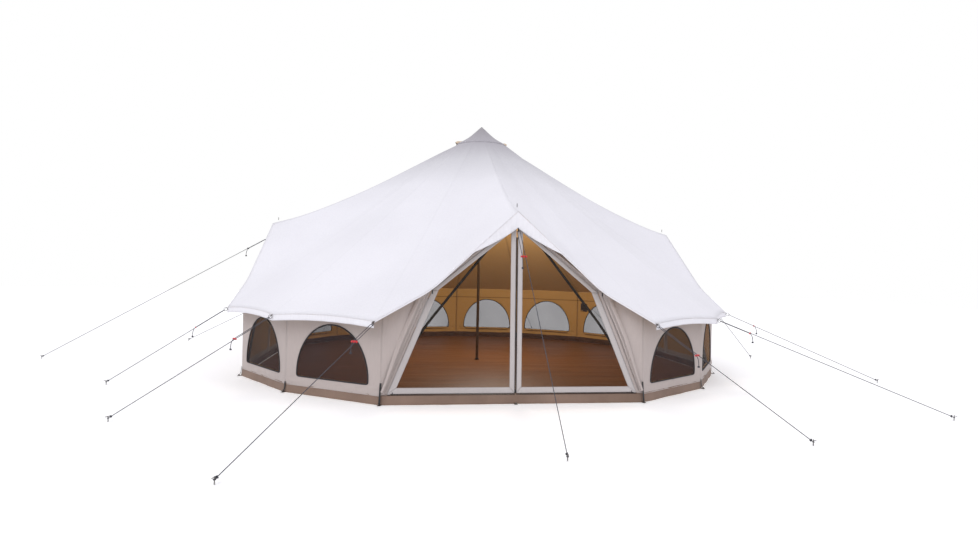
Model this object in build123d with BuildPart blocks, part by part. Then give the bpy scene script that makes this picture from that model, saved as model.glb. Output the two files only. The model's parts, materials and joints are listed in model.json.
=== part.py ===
"""A star bell tent: one centre pole, three A-frame doors and ten window walls, staked out with guylines.

Frame: the origin is on the ground under the centre pole, +Z is up, and the front door faces -Y.
Polar angles are counted from -Y towards +X. All sizes are in millimetres.
"""

from build123d import *
from math import cos, pi, radians, sin, tan
import os

os.makedirs("parts", exist_ok=True)

# Plan of the tent
BASE_RADIUS = 4000
DOOR_ANGLE = 48
WINDOW_ANGLE = (360 - 3 * DOOR_ANGLE) / 10
DOOR_CENTRES = {
    "front": 0,
    "right": DOOR_ANGLE + 2 * WINDOW_ANGLE,
    "left": -DOOR_ANGLE - 2 * WINDOW_ANGLE,
}
DOOR_APOTHEM = BASE_RADIUS * cos(radians(DOOR_ANGLE / 2))
WINDOW_APOTHEM = BASE_RADIUS * cos(radians(WINDOW_ANGLE / 2))
DOOR_HALF = BASE_RADIUS * sin(radians(DOOR_ANGLE / 2))
WINDOW_HALF = BASE_RADIUS * sin(radians(WINDOW_ANGLE / 2))

# Heights
PEAK_HEIGHT = 4184
CAP_HEIGHT = 3850
CAP_RADIUS = 460
EAVE_HEIGHT = 1010
EAVE_RADIUS = 4215
WALL_TOP = 1130
RIM_HEIGHT = 112
FLOOR = 4
TIP_RADIUS = 16
CAP_GAP = 4

# Fabric
CANVAS = 2
MESH = 1.2
SEAM_GAP = 2
VALANCE = 78

# Doors, in each door's own frame: across, outwards, up
DOOR_PEAK = (0, 3600, 2360)
DOOR_KINK = (1050, 3753, 1390)
DOOR_LEAN = 3
DOOR_BOTTOM = RIM_HEIGHT + 8
BEAK_DROP = 205
HINGE_FOOT = (1556, DOOR_BOTTOM)
HINGE_TOP = (14, 2060)
SCREEN_KINK = (1040, 1375)
SCREEN_TOP = (0, 2225)
ZIP_HALF = 8
HINGE_GAP = 5
BEAK_CLEARANCE = 16
BEAK_LENGTH = 640
GUSSET_DROP = 70
GUSSET_GAP = 14
INNER_SCREEN_SETBACK = 12
FLAP_LIFT = 34
FLAP_THICKNESS = 26
TOGGLE_RADIUS = 7
TOGGLE_LENGTH = 46
SLIDER_WIDTH = 12
SLIDER_LENGTH = 26
SLIDER_HEIGHT = 5
SLIDER_LIFT = 1
SILL_SLIDER_ACROSS = 1490
CENTRE_SLIDER_RISE = 20
SILL_SLIDER_RISE = 2
PULL_HEIGHT = 3
SCREEN_OUTWARDS = DOOR_APOTHEM - SCREEN_KINK[1] * tan(radians(DOOR_LEAN))
BEAK_SETBACK = 4
FLAP_FOOT_RISE = 30
FLAP_FOOT_OVERLAP = 6
FLAP_FOOT_WIDTH = 64
FLAP_TOP_SHIFT = 26
FLAP_TOP_DROP = 70
FLAP_TOP_LIFT = 20
TOGGLE_SETBACK = (6, 10, 12)

# Vent hoods
VENT_RADIUS = 395
VENT_WIDTH = 90
VENT_LENGTH = 110
VENT_HEIGHT = 45
VENT_CLEARANCE = 6

# Windows
WINDOW_WIDTH = 1120
WINDOW_SILL = 225
WINDOW_STRAIGHT = 40
WINDOW_ARCH = 640
WINDOW_CORNER = 16
SCREEN_MARGIN = 1
ROLL_RADIUS = 18
ROLL_HEIGHT = 213
ROLL_GAP = 6
ROLL_SHORTER = 100

# Cable port
PORT_SIZE = 190
PORT_ACROSS = 560
PORT_HINGE_HEIGHT = 895

# Poles
POLE_RADIUS = 25
POLE_WALL = 2.5
POLE_JOINTS = (1420, 2820)
POLE_TOP = 4080
POLE_PLUG = 20
FOOT_HEIGHT = 30
FOOT_GAP = 0.5
FOOT_FLANGE = 14
SPIGOT_RADIUS = 8
SPIGOT_SHOWS = 12
LEG_RADIUS = 16
LEG_SETBACK = 44
LEG_TOP = (33, 2295)
LEG_BEND = (1000, 1075)
LEG_FOOT = (1568, 20)
APEX_HALF = 16
APEX_LOW = 2240
APEX_HIGH = 2350
APEX_THICKNESS = 40
PIN_OUTWARDS = 3505
PIN_LOW = 2414
PIN_RADIUS = 4
PIN_LENGTH = 48

# Guylines
ROPE_RADIUS = 4
ROPE_TURN = 18
RING_MAJOR = 24
RING_MINOR = 3
PEG_RADIUS = 5
PEG_HEIGHT = 60
ROPE_GROUND = 36
TAIL_DROP = 105
TAIL_RUN = 45
TAIL_BEND_RADIUS = 16
TENSIONER_HOLE = 4.6
TENSIONER_LENGTH = 80
TENSIONER_WIDTH = 24
TENSIONER_THICK = 6
EAVE_RING_DROP = 16
PEAK_RING_DROP = 215
PEG_HOOK = 30
HOOK_RADIUS = 3.5
HOOK_DROP = 7
BASE_PEG_HEIGHT = 16
TAB_WIDTH = 40
TAB_LENGTH = 60
TAB_GAP = 3
TAB_THICKNESS = 2
PEG_HEAD = 4
GUY_ANGLES = [DOOR_ANGLE / 2, DOOR_ANGLE / 2 + WINDOW_ANGLE, DOOR_ANGLE / 2 + 2 * WINDOW_ANGLE]
REAR_ANGLES = [DOOR_CENTRES["right"] + DOOR_ANGLE / 2 + i * WINDOW_ANGLE for i in range(7)]

# Each guyline: where it starts (eave corner or door peak), its angle, peg radius and tensioner distance.
GUYLINES = {
    "front_peak": ("peak", 0, 5930, 480),
    "left_peak": ("peak", DOOR_CENTRES["left"], 7250, 420),
    "right_peak": ("peak", DOOR_CENTRES["right"], 5430, 520),
    "front_left": ("eave", -GUY_ANGLES[0], 6850, 450),
    "front_right": ("eave", GUY_ANGLES[0], 6200, 640),
    "left_front": ("eave", -GUY_ANGLES[1], 6100, 520),
    "right_front": ("eave", GUY_ANGLES[1], 6900, 420),
    "left_middle": ("eave", -GUY_ANGLES[2], 5700, 450),
    "right_middle": ("eave", GUY_ANGLES[2], 6450, 420),
    "right_rear": ("eave", REAR_ANGLES[0], 6350, 450),
    "rear_1": ("eave", REAR_ANGLES[1], 6350, 450),
    "rear_2": ("eave", REAR_ANGLES[2], 6350, 450),
    "rear_3": ("eave", REAR_ANGLES[3], 6350, 450),
    "rear_4": ("eave", REAR_ANGLES[4], 6350, 450),
    "rear_5": ("eave", REAR_ANGLES[5], 6350, 450),
    "left_rear": ("eave", REAR_ANGLES[6], 6350, 450),
}
ROPE_NODES = {
    "front_peak_rope": ["front_peak"],
    "front_left_rope": ["front_left"],
    "front_right_rope": ["front_right"],
    "left_ropes": ["left_peak", "left_front", "left_middle", "left_rear"],
    "right_ropes": ["right_peak", "right_front", "right_middle", "right_rear"],
    "rear_ropes": ["rear_1", "rear_2", "rear_3", "rear_4", "rear_5"],
}


def side_frame(angle, distance, height=0, lean=0):
    """The upright plane that faces outwards at a polar angle; its X runs to the right seen from outside."""
    a = radians(angle)
    origin = (distance * sin(a), -distance * cos(a), height)
    outwards = Vector(sin(a), -cos(a), tan(radians(lean))).normalized()
    return Plane(origin=origin, x_dir=(cos(a), sin(a), 0), z_dir=outwards)


def ring_point(angle, radius, height):
    a = radians(angle)
    return Vector(radius * sin(a), -radius * cos(a), height)


def door_point(centre, across, outwards, height):
    a = radians(centre)
    return Vector(
        across * cos(a) + outwards * sin(a),
        across * sin(a) - outwards * cos(a),
        height,
    )


def save(node, name):
    node.part.label = name
    export_step(node.part, f"parts/{name}.step")


def flat_sheet(corners, thickness, gap=SEAM_GAP):
    """A flat piece through 3-D corners, counter-clockwise from outside, set back at its seams."""
    first, second, last = corners[0], corners[1], corners[-1]
    face_plane = Plane(
        origin=first,
        x_dir=second - first,
        z_dir=(second - first).cross(last - first),
    )
    local = [face_plane.to_local_coords(corner) for corner in corners]
    with BuildPart() as piece:
        with BuildSketch(face_plane):
            with BuildLine():
                Polyline(*[(point.X, point.Y) for point in local], close=True)
            make_face()
            offset(amount=-gap)
        extrude(amount=-thickness)
    return piece.part


def wall_sheet(plane, outline, thickness):
    """A flat piece with an outline in the plane's own X and Y, thickness inwards."""
    with BuildPart() as piece:
        with BuildSketch(plane):
            with BuildLine():
                Polyline(*outline, close=True)
            make_face()
        extrude(amount=-thickness)
    return piece.part


def rod(plane, radius, length):
    """A round bar that starts at the plane and runs along its normal."""
    with BuildPart() as piece:
        with BuildSketch(plane):
            Circle(radius)
        extrude(amount=length)
    return piece.part


def gather(pieces):
    """One node from separate solids."""
    with BuildPart() as node:
        add(pieces)
    return node


def wall_panels():
    """The thirteen sides in order from the front door's left corner: kind, start angle, end angle."""
    kinds = ["door"] + 2 * ["window"] + ["door"] + 6 * ["window"] + ["door"] + 2 * ["window"]
    panels = []
    angle = -DOOR_ANGLE / 2
    for kind in kinds:
        width = DOOR_ANGLE if kind == "door" else WINDOW_ANGLE
        panels.append((kind, angle, angle + width))
        angle += width
    return panels


PANELS = wall_panels()
WINDOW_CENTRES = [(start + end) / 2 for kind, start, end in PANELS if kind == "window"]
CORNERS = [start for kind, start, end in PANELS]

# --- Groundsheet: a flat floor with an upright rim on each of its thirteen sides ---
with BuildPart() as groundsheet_floor:
    with BuildSketch():
        with BuildLine():
            Polyline(*[ring_point(angle, BASE_RADIUS - 4, 0) for angle in CORNERS], close=True)
        make_face()
    extrude(amount=FLOOR)
save(groundsheet_floor, "groundsheet_floor")

rims = []
for kind, start, end in PANELS:
    half = (DOOR_HALF if kind == "door" else WINDOW_HALF) - SEAM_GAP
    apothem = DOOR_APOTHEM if kind == "door" else WINDOW_APOTHEM
    rim_outline = [(-half, 0), (half, 0), (half, RIM_HEIGHT), (-half, RIM_HEIGHT)]
    rims.append(wall_sheet(side_frame((start + end) / 2, apothem), rim_outline, CANVAS))
save(gather(rims), "groundsheet_rim")


# --- Window walls, their mesh screens and the rolled covers at their sills ---
def window_sheet(plane, margin, thickness):
    """The shape of a window opening, set in by a margin: nearly half an ellipse standing on its sill."""
    half = WINDOW_WIDTH / 2 - margin
    foot = WINDOW_SILL + margin
    spring_line = WINDOW_SILL + WINDOW_STRAIGHT
    with BuildPart() as piece:
        with BuildSketch(plane) as opening:
            with BuildLine():
                EllipticalCenterArc((0, spring_line), half, WINDOW_ARCH - margin, arc_size=180)
                Polyline((-half, spring_line), (-half, foot), (half, foot), (half, spring_line))
            make_face()
            fillet(opening.vertices().group_by(Axis.Z)[0], radius=WINDOW_CORNER)
        extrude(amount=-thickness)
    return piece.part


wall_half = WINDOW_HALF - SEAM_GAP
wall_foot = RIM_HEIGHT + SEAM_GAP
wall_outline = [
    (-wall_half, wall_foot),
    (wall_half, wall_foot),
    (wall_half, WALL_TOP),
    (-wall_half, WALL_TOP),
]
walls = []
screens = []
covers = []
for centre in WINDOW_CENTRES:
    wall_plane = side_frame(centre, WINDOW_APOTHEM)
    with BuildPart() as wall:
        add(wall_sheet(wall_plane, wall_outline, CANVAS))
        add(window_sheet(wall_plane, 0, CANVAS), mode=Mode.SUBTRACT)
    walls.append(wall.part)
    screens.append(window_sheet(wall_plane, SCREEN_MARGIN, MESH))
    roll_half = (WINDOW_WIDTH - ROLL_SHORTER) / 2
    roll_start = door_point(centre, -roll_half, WINDOW_APOTHEM - ROLL_RADIUS - ROLL_GAP, ROLL_HEIGHT)
    roll_along = side_frame(centre, 0).x_dir
    covers.append(rod(Plane(origin=roll_start, z_dir=roll_along), ROLL_RADIUS, 2 * roll_half))
save(gather(walls), "window_walls")
save(gather(screens), "window_screens")
save(gather(covers), "window_covers")

# --- Cable port: a square flap inside the rear right window wall, hinged along its top edge ---
port_wall = WINDOW_CENTRES[2]
port_plane = side_frame(port_wall, WINDOW_APOTHEM - CANVAS - 2)
port_low = PORT_HINGE_HEIGHT - PORT_SIZE
port_outline = [
    (PORT_ACROSS - PORT_SIZE / 2, port_low),
    (PORT_ACROSS + PORT_SIZE / 2, port_low),
    (PORT_ACROSS + PORT_SIZE / 2, PORT_HINGE_HEIGHT),
    (PORT_ACROSS - PORT_SIZE / 2, PORT_HINGE_HEIGHT),
]
with BuildPart() as cable_port_flap:
    add(wall_sheet(port_plane, port_outline, CANVAS))
save(cable_port_flap, "cable_port_flap")


# --- Roof canopy: a flat gore over each window wall, and six over each door ---
def canopy_ring(angle):
    return ring_point(angle, CAP_RADIUS, CAP_HEIGHT)


def eave_corner(angle):
    return ring_point(angle, EAVE_RADIUS, EAVE_HEIGHT)


gores = []
for kind, start, end in PANELS:
    if kind == "window":
        corners = [eave_corner(start), eave_corner(end), canopy_ring(end), canopy_ring(start)]
        gores.append(flat_sheet(corners, CANVAS))
for centre in DOOR_CENTRES.values():
    peak = door_point(centre, *DOOR_PEAK)
    ridge_top = canopy_ring(centre)
    for side in (1, -1):
        across, outwards, height = DOOR_KINK
        kink = door_point(centre, side * across, outwards, height)
        corner = eave_corner(centre + side * DOOR_ANGLE / 2)
        valley_top = canopy_ring(centre + side * DOOR_ANGLE / 2)
        triangles = [
            [ridge_top, peak, valley_top],
            [valley_top, peak, kink],
            [valley_top, kink, corner],
        ]
        for triangle in triangles:
            if side == -1:
                triangle.reverse()
            gores.append(flat_sheet(triangle, CANVAS))
save(gather(gores), "roof_canopy")

# --- Peak cap: sixteen flat facets from the canopy's top ring up to the pole ---
cap_angles = sorted(angle % 360 for angle in CORNERS + list(DOOR_CENTRES.values()))
cap_angles.append(cap_angles[0] + 360)
facets = []
for start, end in zip(cap_angles, cap_angles[1:]):
    corners = [
        ring_point(start, CAP_RADIUS, CAP_HEIGHT + CAP_GAP),
        ring_point(end, CAP_RADIUS, CAP_HEIGHT + CAP_GAP),
        ring_point(end, TIP_RADIUS, PEAK_HEIGHT),
        ring_point(start, TIP_RADIUS, PEAK_HEIGHT),
    ]
    facets.append(flat_sheet(corners, CANVAS))
save(gather(facets), "peak_cap")

# --- Vent hoods: small half-round hoods on the cap, towards the two side doors and the back ---
cap_slope = (PEAK_HEIGHT - CAP_HEIGHT) / (CAP_RADIUS - TIP_RADIUS)
hoods = []
for angle in (DOOR_CENTRES["left"], DOOR_CENTRES["right"], 180):
    a = radians(angle)
    on_cap = ring_point(angle, VENT_RADIUS, CAP_HEIGHT + CAP_GAP + cap_slope * (CAP_RADIUS - VENT_RADIUS))
    slope_normal = Vector(cap_slope * sin(a), -cap_slope * cos(a), 1).normalized()
    hood_plane = Plane(
        origin=on_cap + slope_normal * VENT_CLEARANCE,
        x_dir=(cos(a), sin(a), 0),
        z_dir=slope_normal,
    )
    with BuildPart() as hood:
        with BuildSketch(hood_plane):
            RectangleRounded(VENT_WIDTH, VENT_LENGTH, VENT_WIDTH / 3)
        extrude(amount=VENT_HEIGHT)
        fillet(hood.faces().sort_by(SortBy.AREA)[-1].edges(), radius=8)
    hoods.append(hood.part)
save(gather(hoods), "vent_hoods")

# --- Valances: the strip that hangs from the eave, and the deeper one under each door's beak ---
eave_apothem = EAVE_RADIUS * cos(radians(WINDOW_ANGLE / 2))
eave_half = EAVE_RADIUS * sin(radians(WINDOW_ANGLE / 2)) - SEAM_GAP
valance_top = EAVE_HEIGHT - 6
valance_foot = EAVE_HEIGHT - VALANCE
valance_outline = [
    (-eave_half, valance_foot),
    (eave_half, valance_foot),
    (eave_half, valance_top),
    (-eave_half, valance_top),
]
eave_strips = [
    wall_sheet(side_frame(centre, eave_apothem - 3), valance_outline, CANVAS) for centre in WINDOW_CENTRES
]
save(gather(eave_strips), "eave_valances")

beak_strips = []
for centre in DOOR_CENTRES.values():
    for side in (1, -1):
        peak_height = DOOR_PEAK[2] - BEAK_CLEARANCE
        end_share = BEAK_LENGTH / DOOR_KINK[0]
        end_outwards = DOOR_PEAK[1] + end_share * (DOOR_KINK[1] - DOOR_PEAK[1])
        end_height = peak_height + end_share * (DOOR_KINK[2] - DOOR_PEAK[2])
        corners = [
            door_point(centre, side * SEAM_GAP, DOOR_PEAK[1] - BEAK_SETBACK, DOOR_PEAK[2] - BEAK_DROP),
            door_point(centre, side * BEAK_LENGTH, end_outwards - BEAK_SETBACK, end_height),
            door_point(centre, side * SEAM_GAP, DOOR_PEAK[1] - BEAK_SETBACK, peak_height),
        ]
        if side == -1:
            corners.reverse()
        beak_strips.append(flat_sheet(corners, CANVAS))
save(gather(beak_strips), "door_beak_valances")


# --- Doors ---
def door_plane(centre, setback=0):
    """A door's leaning plane: X across, Y up the slope from the ground, normal outwards."""
    return side_frame(centre, DOOR_APOTHEM - setback, 0, DOOR_LEAN)


def leaf_outline(side):
    """The moving half of a door: a triangle between the zip, the sill and the slanted hinge seam."""
    foot_x, foot_y = HINGE_FOOT
    top_x, top_y = HINGE_TOP
    outline = [
        (side * ZIP_HALF, foot_y),
        (side * (foot_x - HINGE_GAP), foot_y),
        (side * (top_x - HINGE_GAP / 2), top_y - HINGE_GAP),
        (side * ZIP_HALF, top_y - HINGE_GAP),
    ]
    return outline if side == 1 else outline[::-1]


def side_outline(side):
    """The part of a door's sheet that stays put, between the hinge seam and the canopy."""
    foot_x, foot_y = HINGE_FOOT
    outline = [
        (side * (foot_x + HINGE_GAP), foot_y),
        (side * SCREEN_KINK[0], SCREEN_KINK[1]),
        (side * SEAM_GAP, SCREEN_TOP[1]),
        (side * SEAM_GAP, HINGE_TOP[1] + HINGE_TOP[0] + 2 * HINGE_GAP),
    ]
    return outline if side == 1 else outline[::-1]


SIDES = {"right": 1, "left": -1}
for name, side in SIDES.items():
    with BuildPart() as front_leaf:
        add(wall_sheet(door_plane(DOOR_CENTRES["front"]), leaf_outline(side), CANVAS))
    save(front_leaf, f"front_screen_{name}")
save(
    gather([wall_sheet(door_plane(DOOR_CENTRES["front"]), side_outline(side), CANVAS) for side in (1, -1)]),
    "front_screen_sides",
)
for door in ("left", "right"):
    for name, side in SIDES.items():
        with BuildPart() as canvas_leaf:
            add(wall_sheet(door_plane(DOOR_CENTRES[door]), leaf_outline(side), CANVAS))
        save(canvas_leaf, f"{door}_door_leaf_{name}")
side_panels = []
inner_screens = []
for door in ("left", "right"):
    for side in (1, -1):
        side_panels.append(wall_sheet(door_plane(DOOR_CENTRES[door]), side_outline(side), CANVAS))
        inner_outline = [
            (side * ZIP_HALF, DOOR_BOTTOM),
            (side * HINGE_FOOT[0], DOOR_BOTTOM),
            (side * SCREEN_KINK[0], SCREEN_KINK[1]),
            (side * ZIP_HALF, SCREEN_TOP[1] - 20),
        ]
        if side == -1:
            inner_outline.reverse()
        inner_screens.append(
            wall_sheet(door_plane(DOOR_CENTRES[door], INNER_SCREEN_SETBACK), inner_outline, MESH)
        )
save(gather(side_panels), "side_door_panels")
save(gather(inner_screens), "side_door_screens")

gussets = []
for centre in DOOR_CENTRES.values():
    for side in (1, -1):
        outline = [
            door_point(centre, side * (DOOR_HALF - SEAM_GAP), DOOR_APOTHEM, RIM_HEIGHT + SEAM_GAP),
            door_point(centre, side * (DOOR_HALF - SEAM_GAP), DOOR_APOTHEM, WALL_TOP - GUSSET_DROP),
            door_point(centre, side * (SCREEN_KINK[0] + GUSSET_GAP), SCREEN_OUTWARDS, SCREEN_KINK[1]),
        ]
        if side == -1:
            outline.reverse()
        gussets.append(flat_sheet(outline, CANVAS))
save(gather(gussets), "door_gussets")

# --- Front canvas flaps, folded back against the gussets, and the toggles that hold them ---
flaps = []
toggles = []
for side in (1, -1):
    flap_inner = HINGE_FOOT[0] - FLAP_FOOT_OVERLAP
    flap_low = DOOR_BOTTOM + FLAP_FOOT_RISE
    flap_corners = [
        door_point(0, side * flap_inner, DOOR_APOTHEM + FLAP_LIFT, flap_low),
        door_point(0, side * (flap_inner + FLAP_FOOT_WIDTH), DOOR_APOTHEM + FLAP_LIFT, flap_low),
        door_point(
            0,
            side * (SCREEN_KINK[0] + FLAP_TOP_SHIFT),
            SCREEN_OUTWARDS + FLAP_LIFT + FLAP_TOP_LIFT,
            SCREEN_KINK[1] - FLAP_TOP_DROP,
        ),
    ]
    if side == -1:
        flap_corners.reverse()
    flaps.append(flat_sheet(flap_corners, FLAP_THICKNESS))
    toggle_in, toggle_out, toggle_drop = TOGGLE_SETBACK
    toggle_top = door_point(
        0, side * (DOOR_KINK[0] - toggle_in), DOOR_KINK[1] + toggle_out, DOOR_KINK[2] - toggle_drop
    )
    toggles.append(rod(Plane(origin=toggle_top, z_dir=(0, 0, -1)), TOGGLE_RADIUS, TOGGLE_LENGTH))
save(gather(flaps), "front_flaps")
save(gather(toggles), "flap_toggles")


# --- Zip sliders: one on each centre zip, and one at each end of the front door's sill zip ---
def slider(plane, across, up):
    """A slider's body on the outside of a door, with its pull hanging from it."""
    with BuildPart() as piece:
        with BuildSketch(plane):
            with Locations((across, up + SLIDER_LENGTH / 2)):
                RectangleRounded(SLIDER_WIDTH, SLIDER_LENGTH, 2)
        extrude(amount=SLIDER_HEIGHT)
        with BuildSketch(plane.offset(SLIDER_HEIGHT)):
            with Locations((across, up + SLIDER_LENGTH / 3)):
                RectangleRounded(SLIDER_WIDTH / 2, SLIDER_LENGTH * 0.6, 1.5)
        extrude(amount=PULL_HEIGHT)
    return piece


for door in ("front", "left", "right"):
    centre_slider = slider(door_plane(DOOR_CENTRES[door], -SLIDER_LIFT), 0, DOOR_BOTTOM + CENTRE_SLIDER_RISE)
    save(centre_slider, f"{door}_centre_slider")
for name, side in SIDES.items():
    sill_height = DOOR_BOTTOM + SILL_SLIDER_RISE
    sill_slider = slider(door_plane(0, -SLIDER_LIFT), side * SILL_SLIDER_ACROSS, sill_height)
    save(sill_slider, f"front_sill_slider_{name}")

# --- Centre pole: three tubes, the upper one with a plug and spigot, and a foot ---
pole_low = FLOOR + FOOT_HEIGHT
lower_join, upper_join = POLE_JOINTS
pole_spans = {
    "pole_lower": (pole_low + 1, lower_join),
    "pole_middle": (lower_join + 1, upper_join),
    "pole_upper": (upper_join + 1, POLE_TOP),
}
for name, (low, high) in pole_spans.items():
    with BuildPart() as section:
        with BuildSketch(Plane.XY.offset(low)):
            Circle(POLE_RADIUS)
            Circle(POLE_RADIUS - POLE_WALL, mode=Mode.SUBTRACT)
        extrude(amount=high - low)
        if name == "pole_upper":
            with BuildSketch(Plane.XY.offset(high)):
                Circle(POLE_RADIUS)
            extrude(amount=-POLE_PLUG)
            with BuildSketch(Plane.XY.offset(high)):
                Circle(SPIGOT_RADIUS)
            extrude(amount=PEAK_HEIGHT + SPIGOT_SHOWS - high)
    save(section, name)
with BuildPart() as pole_foot:
    with BuildSketch(Plane.XY.offset(FLOOR + FOOT_GAP)):
        Circle(POLE_RADIUS + FOOT_FLANGE)
    extrude(amount=FOOT_HEIGHT / 2)
    with BuildSketch(Plane.XY.offset(FLOOR + FOOT_GAP + FOOT_HEIGHT / 2)):
        Circle(POLE_RADIUS + 2)
    extrude(amount=FOOT_HEIGHT / 2 - 1)
save(pole_foot, "pole_foot")

# --- A-frames: two bowed legs to each door, joined by an apex block with a pin through the canopy ---
legs = []
apexes = []
for centre in DOOR_CENTRES.values():
    frame_plane = door_plane(centre, LEG_SETBACK)
    for side in (1, -1):
        top, bend, foot = [(side * x, y) for x, y in (LEG_TOP, LEG_BEND, LEG_FOOT)]
        with BuildPart() as leg:
            with BuildLine(frame_plane) as leg_path:
                straight = Line(top, bend)
                TangentArc(bend, foot, tangent=straight % 1)
            with BuildSketch(Plane(origin=leg_path.line @ 0, z_dir=leg_path.line % 0)):
                Circle(LEG_RADIUS)
            sweep()
        legs.append(leg.part)
    apex_outline = [
        (-APEX_HALF, APEX_LOW),
        (APEX_HALF, APEX_LOW),
        (APEX_HALF, APEX_HIGH),
        (-APEX_HALF, APEX_HIGH),
    ]
    apex_plane = door_plane(centre, LEG_SETBACK - APEX_THICKNESS / 2)
    apexes.append(wall_sheet(apex_plane, apex_outline, APEX_THICKNESS))
    pin_foot = door_point(centre, 0, PIN_OUTWARDS, PIN_LOW)
    apexes.append(rod(Plane(origin=pin_foot, z_dir=(0, 0, 1)), PIN_RADIUS, PIN_LENGTH))
save(gather(legs), "aframe_legs")
save(gather(apexes), "aframe_apexes")

# --- Base pegs with their webbing tabs ---
tabs = []
base_pegs = []
tab_spots = [(angle, BASE_RADIUS + TAB_GAP) for angle in CORNERS]
tab_spots += [(centre, DOOR_APOTHEM + TAB_GAP) for centre in DOOR_CENTRES.values()]
for angle, radius in tab_spots:
    tab_plane = side_frame(angle, radius)
    with BuildPart() as tab:
        with BuildSketch(Plane(origin=ring_point(angle, radius + TAB_LENGTH / 2, 1), x_dir=tab_plane.x_dir)):
            Rectangle(TAB_WIDTH, TAB_LENGTH)
            with Locations((0, -TAB_LENGTH / 4)):
                Circle(PEG_RADIUS + 1, mode=Mode.SUBTRACT)
        extrude(amount=TAB_THICKNESS)
    tabs.append(tab.part)
    peg_foot = ring_point(angle, radius + TAB_LENGTH * 3 / 4, 0)
    with BuildPart() as peg:
        add(rod(Plane(origin=peg_foot, z_dir=(0, 0, 1)), PEG_RADIUS, BASE_PEG_HEIGHT))
        head_foot = peg_foot + Vector(0, 0, BASE_PEG_HEIGHT)
        add(rod(Plane(origin=head_foot, z_dir=(0, 0, 1)), PEG_RADIUS * 2, PEG_HEAD))
    base_pegs.append(peg.part)
save(gather(tabs), "peg_tabs")
save(gather(base_pegs), "base_pegs")


# --- Guylines: pegs, rings, ropes and sliding tensioners ---
def guyline(kind, angle, peg_radius, tensioner_distance):
    """The ring, peg, rope and tensioner of one guyline, and the way that its tensioner slides."""
    if kind == "peak":
        anchor = door_point(angle, 0, DOOR_PEAK[1], DOOR_PEAK[2] - PEAK_RING_DROP)
    else:
        anchor = ring_point(angle, EAVE_RADIUS, EAVE_HEIGHT - EAVE_RING_DROP)
    peg_top = ring_point(angle, peg_radius, ROPE_GROUND)
    up = (anchor - peg_top).normalized()
    sideways = up.cross(Vector(0, 0, 1)).normalized()
    ring_centre = anchor - up * (RING_MAJOR + RING_MINOR + 2)
    turn_top = ring_centre - up * (RING_MAJOR - RING_MINOR - ROPE_RADIUS - 1)
    with BuildPart() as ring:
        with BuildSketch(Plane(origin=ring_centre + up * RING_MAJOR, z_dir=up.cross(sideways))):
            Circle(RING_MINOR)
        revolve(axis=Axis(ring_centre, sideways), revolution_arc=360)

    half = sideways * ROPE_TURN
    turn_radius = ROPE_TURN - 1
    foot = peg_top + up * (PEG_RADIUS + ROPE_RADIUS + 6)
    tensioner_centre = turn_top - up * tensioner_distance
    tail_bend = tensioner_centre - up * TAIL_RUN - half
    route = [
        foot + half,
        turn_top + half,
        turn_top - half,
        tail_bend,
        tail_bend - Vector(0, 0, TAIL_DROP),
    ]
    radii = [turn_radius, turn_radius, TAIL_BEND_RADIUS]
    with BuildPart() as rope:
        with BuildLine() as rope_path:
            FilletPolyline(*route, radius=radii)
        with BuildSketch(Plane(origin=rope_path.line @ 0, z_dir=rope_path.line % 0)):
            Circle(ROPE_RADIUS)
        sweep()
    length = sum(edge.length for edge in rope_path.edges())
    section = pi * ROPE_RADIUS**2
    print(f"  route {length:.0f} mm, radii {radii}, volume ratio {rope.part.volume / (section * length):.4f}")

    peg_foot = peg_top + half - Vector(0, 0, ROPE_GROUND)
    hook_start = peg_foot + Vector(0, 0, PEG_HEIGHT - HOOK_DROP)
    hook_way = Vector(-up.X, -up.Y, 0).normalized()
    with BuildPart() as peg:
        add(rod(Plane(origin=peg_foot, z_dir=(0, 0, 1)), PEG_RADIUS, PEG_HEIGHT))
        add(rod(Plane(origin=hook_start, z_dir=hook_way), HOOK_RADIUS, PEG_HOOK))

    bar_plane = Plane(origin=tensioner_centre - up * TENSIONER_THICK / 2, x_dir=sideways, z_dir=up)
    with BuildPart() as tensioner:
        with BuildSketch(bar_plane):
            RectangleRounded(TENSIONER_LENGTH, TENSIONER_WIDTH, TENSIONER_WIDTH / 2 - 1)
            with Locations((ROPE_TURN, 0), (-ROPE_TURN, 0)):
                Circle(TENSIONER_HOLE, mode=Mode.SUBTRACT)
        extrude(amount=TENSIONER_THICK)
    return ring.part, peg.part, rope.part, tensioner, up


rings = []
guy_pegs = []
ropes = {}
for name, (kind, angle, peg_radius, tensioner_distance) in GUYLINES.items():
    print("guyline", name)
    ring, peg, rope, tensioner, up = guyline(kind, angle, peg_radius, tensioner_distance)
    print(f"  tensioner slides along {up.X:.6f}, {up.Y:.6f}, {up.Z:.6f}")
    rings.append(ring)
    guy_pegs.append(peg)
    ropes[name] = rope
    save(tensioner, f"tensioner_{name}")
save(gather(rings), "guy_rings")
save(gather(guy_pegs), "guy_pegs")
for node_name, names in ROPE_NODES.items():
    save(gather([ropes[name] for name in names]), node_name)
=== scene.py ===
"""Looks for the bell tent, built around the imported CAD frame. Units are metres, with the tent's own frame:
the origin is on the ground under the pole, Z is up, and the front door faces -Y."""

import json
from math import atan2, cos, degrees, exp, hypot, pi, radians, sin, sqrt

import bpy
from mathutils import Matrix, Vector, noise
from mathutils.bvhtree import BVHTree

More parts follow.
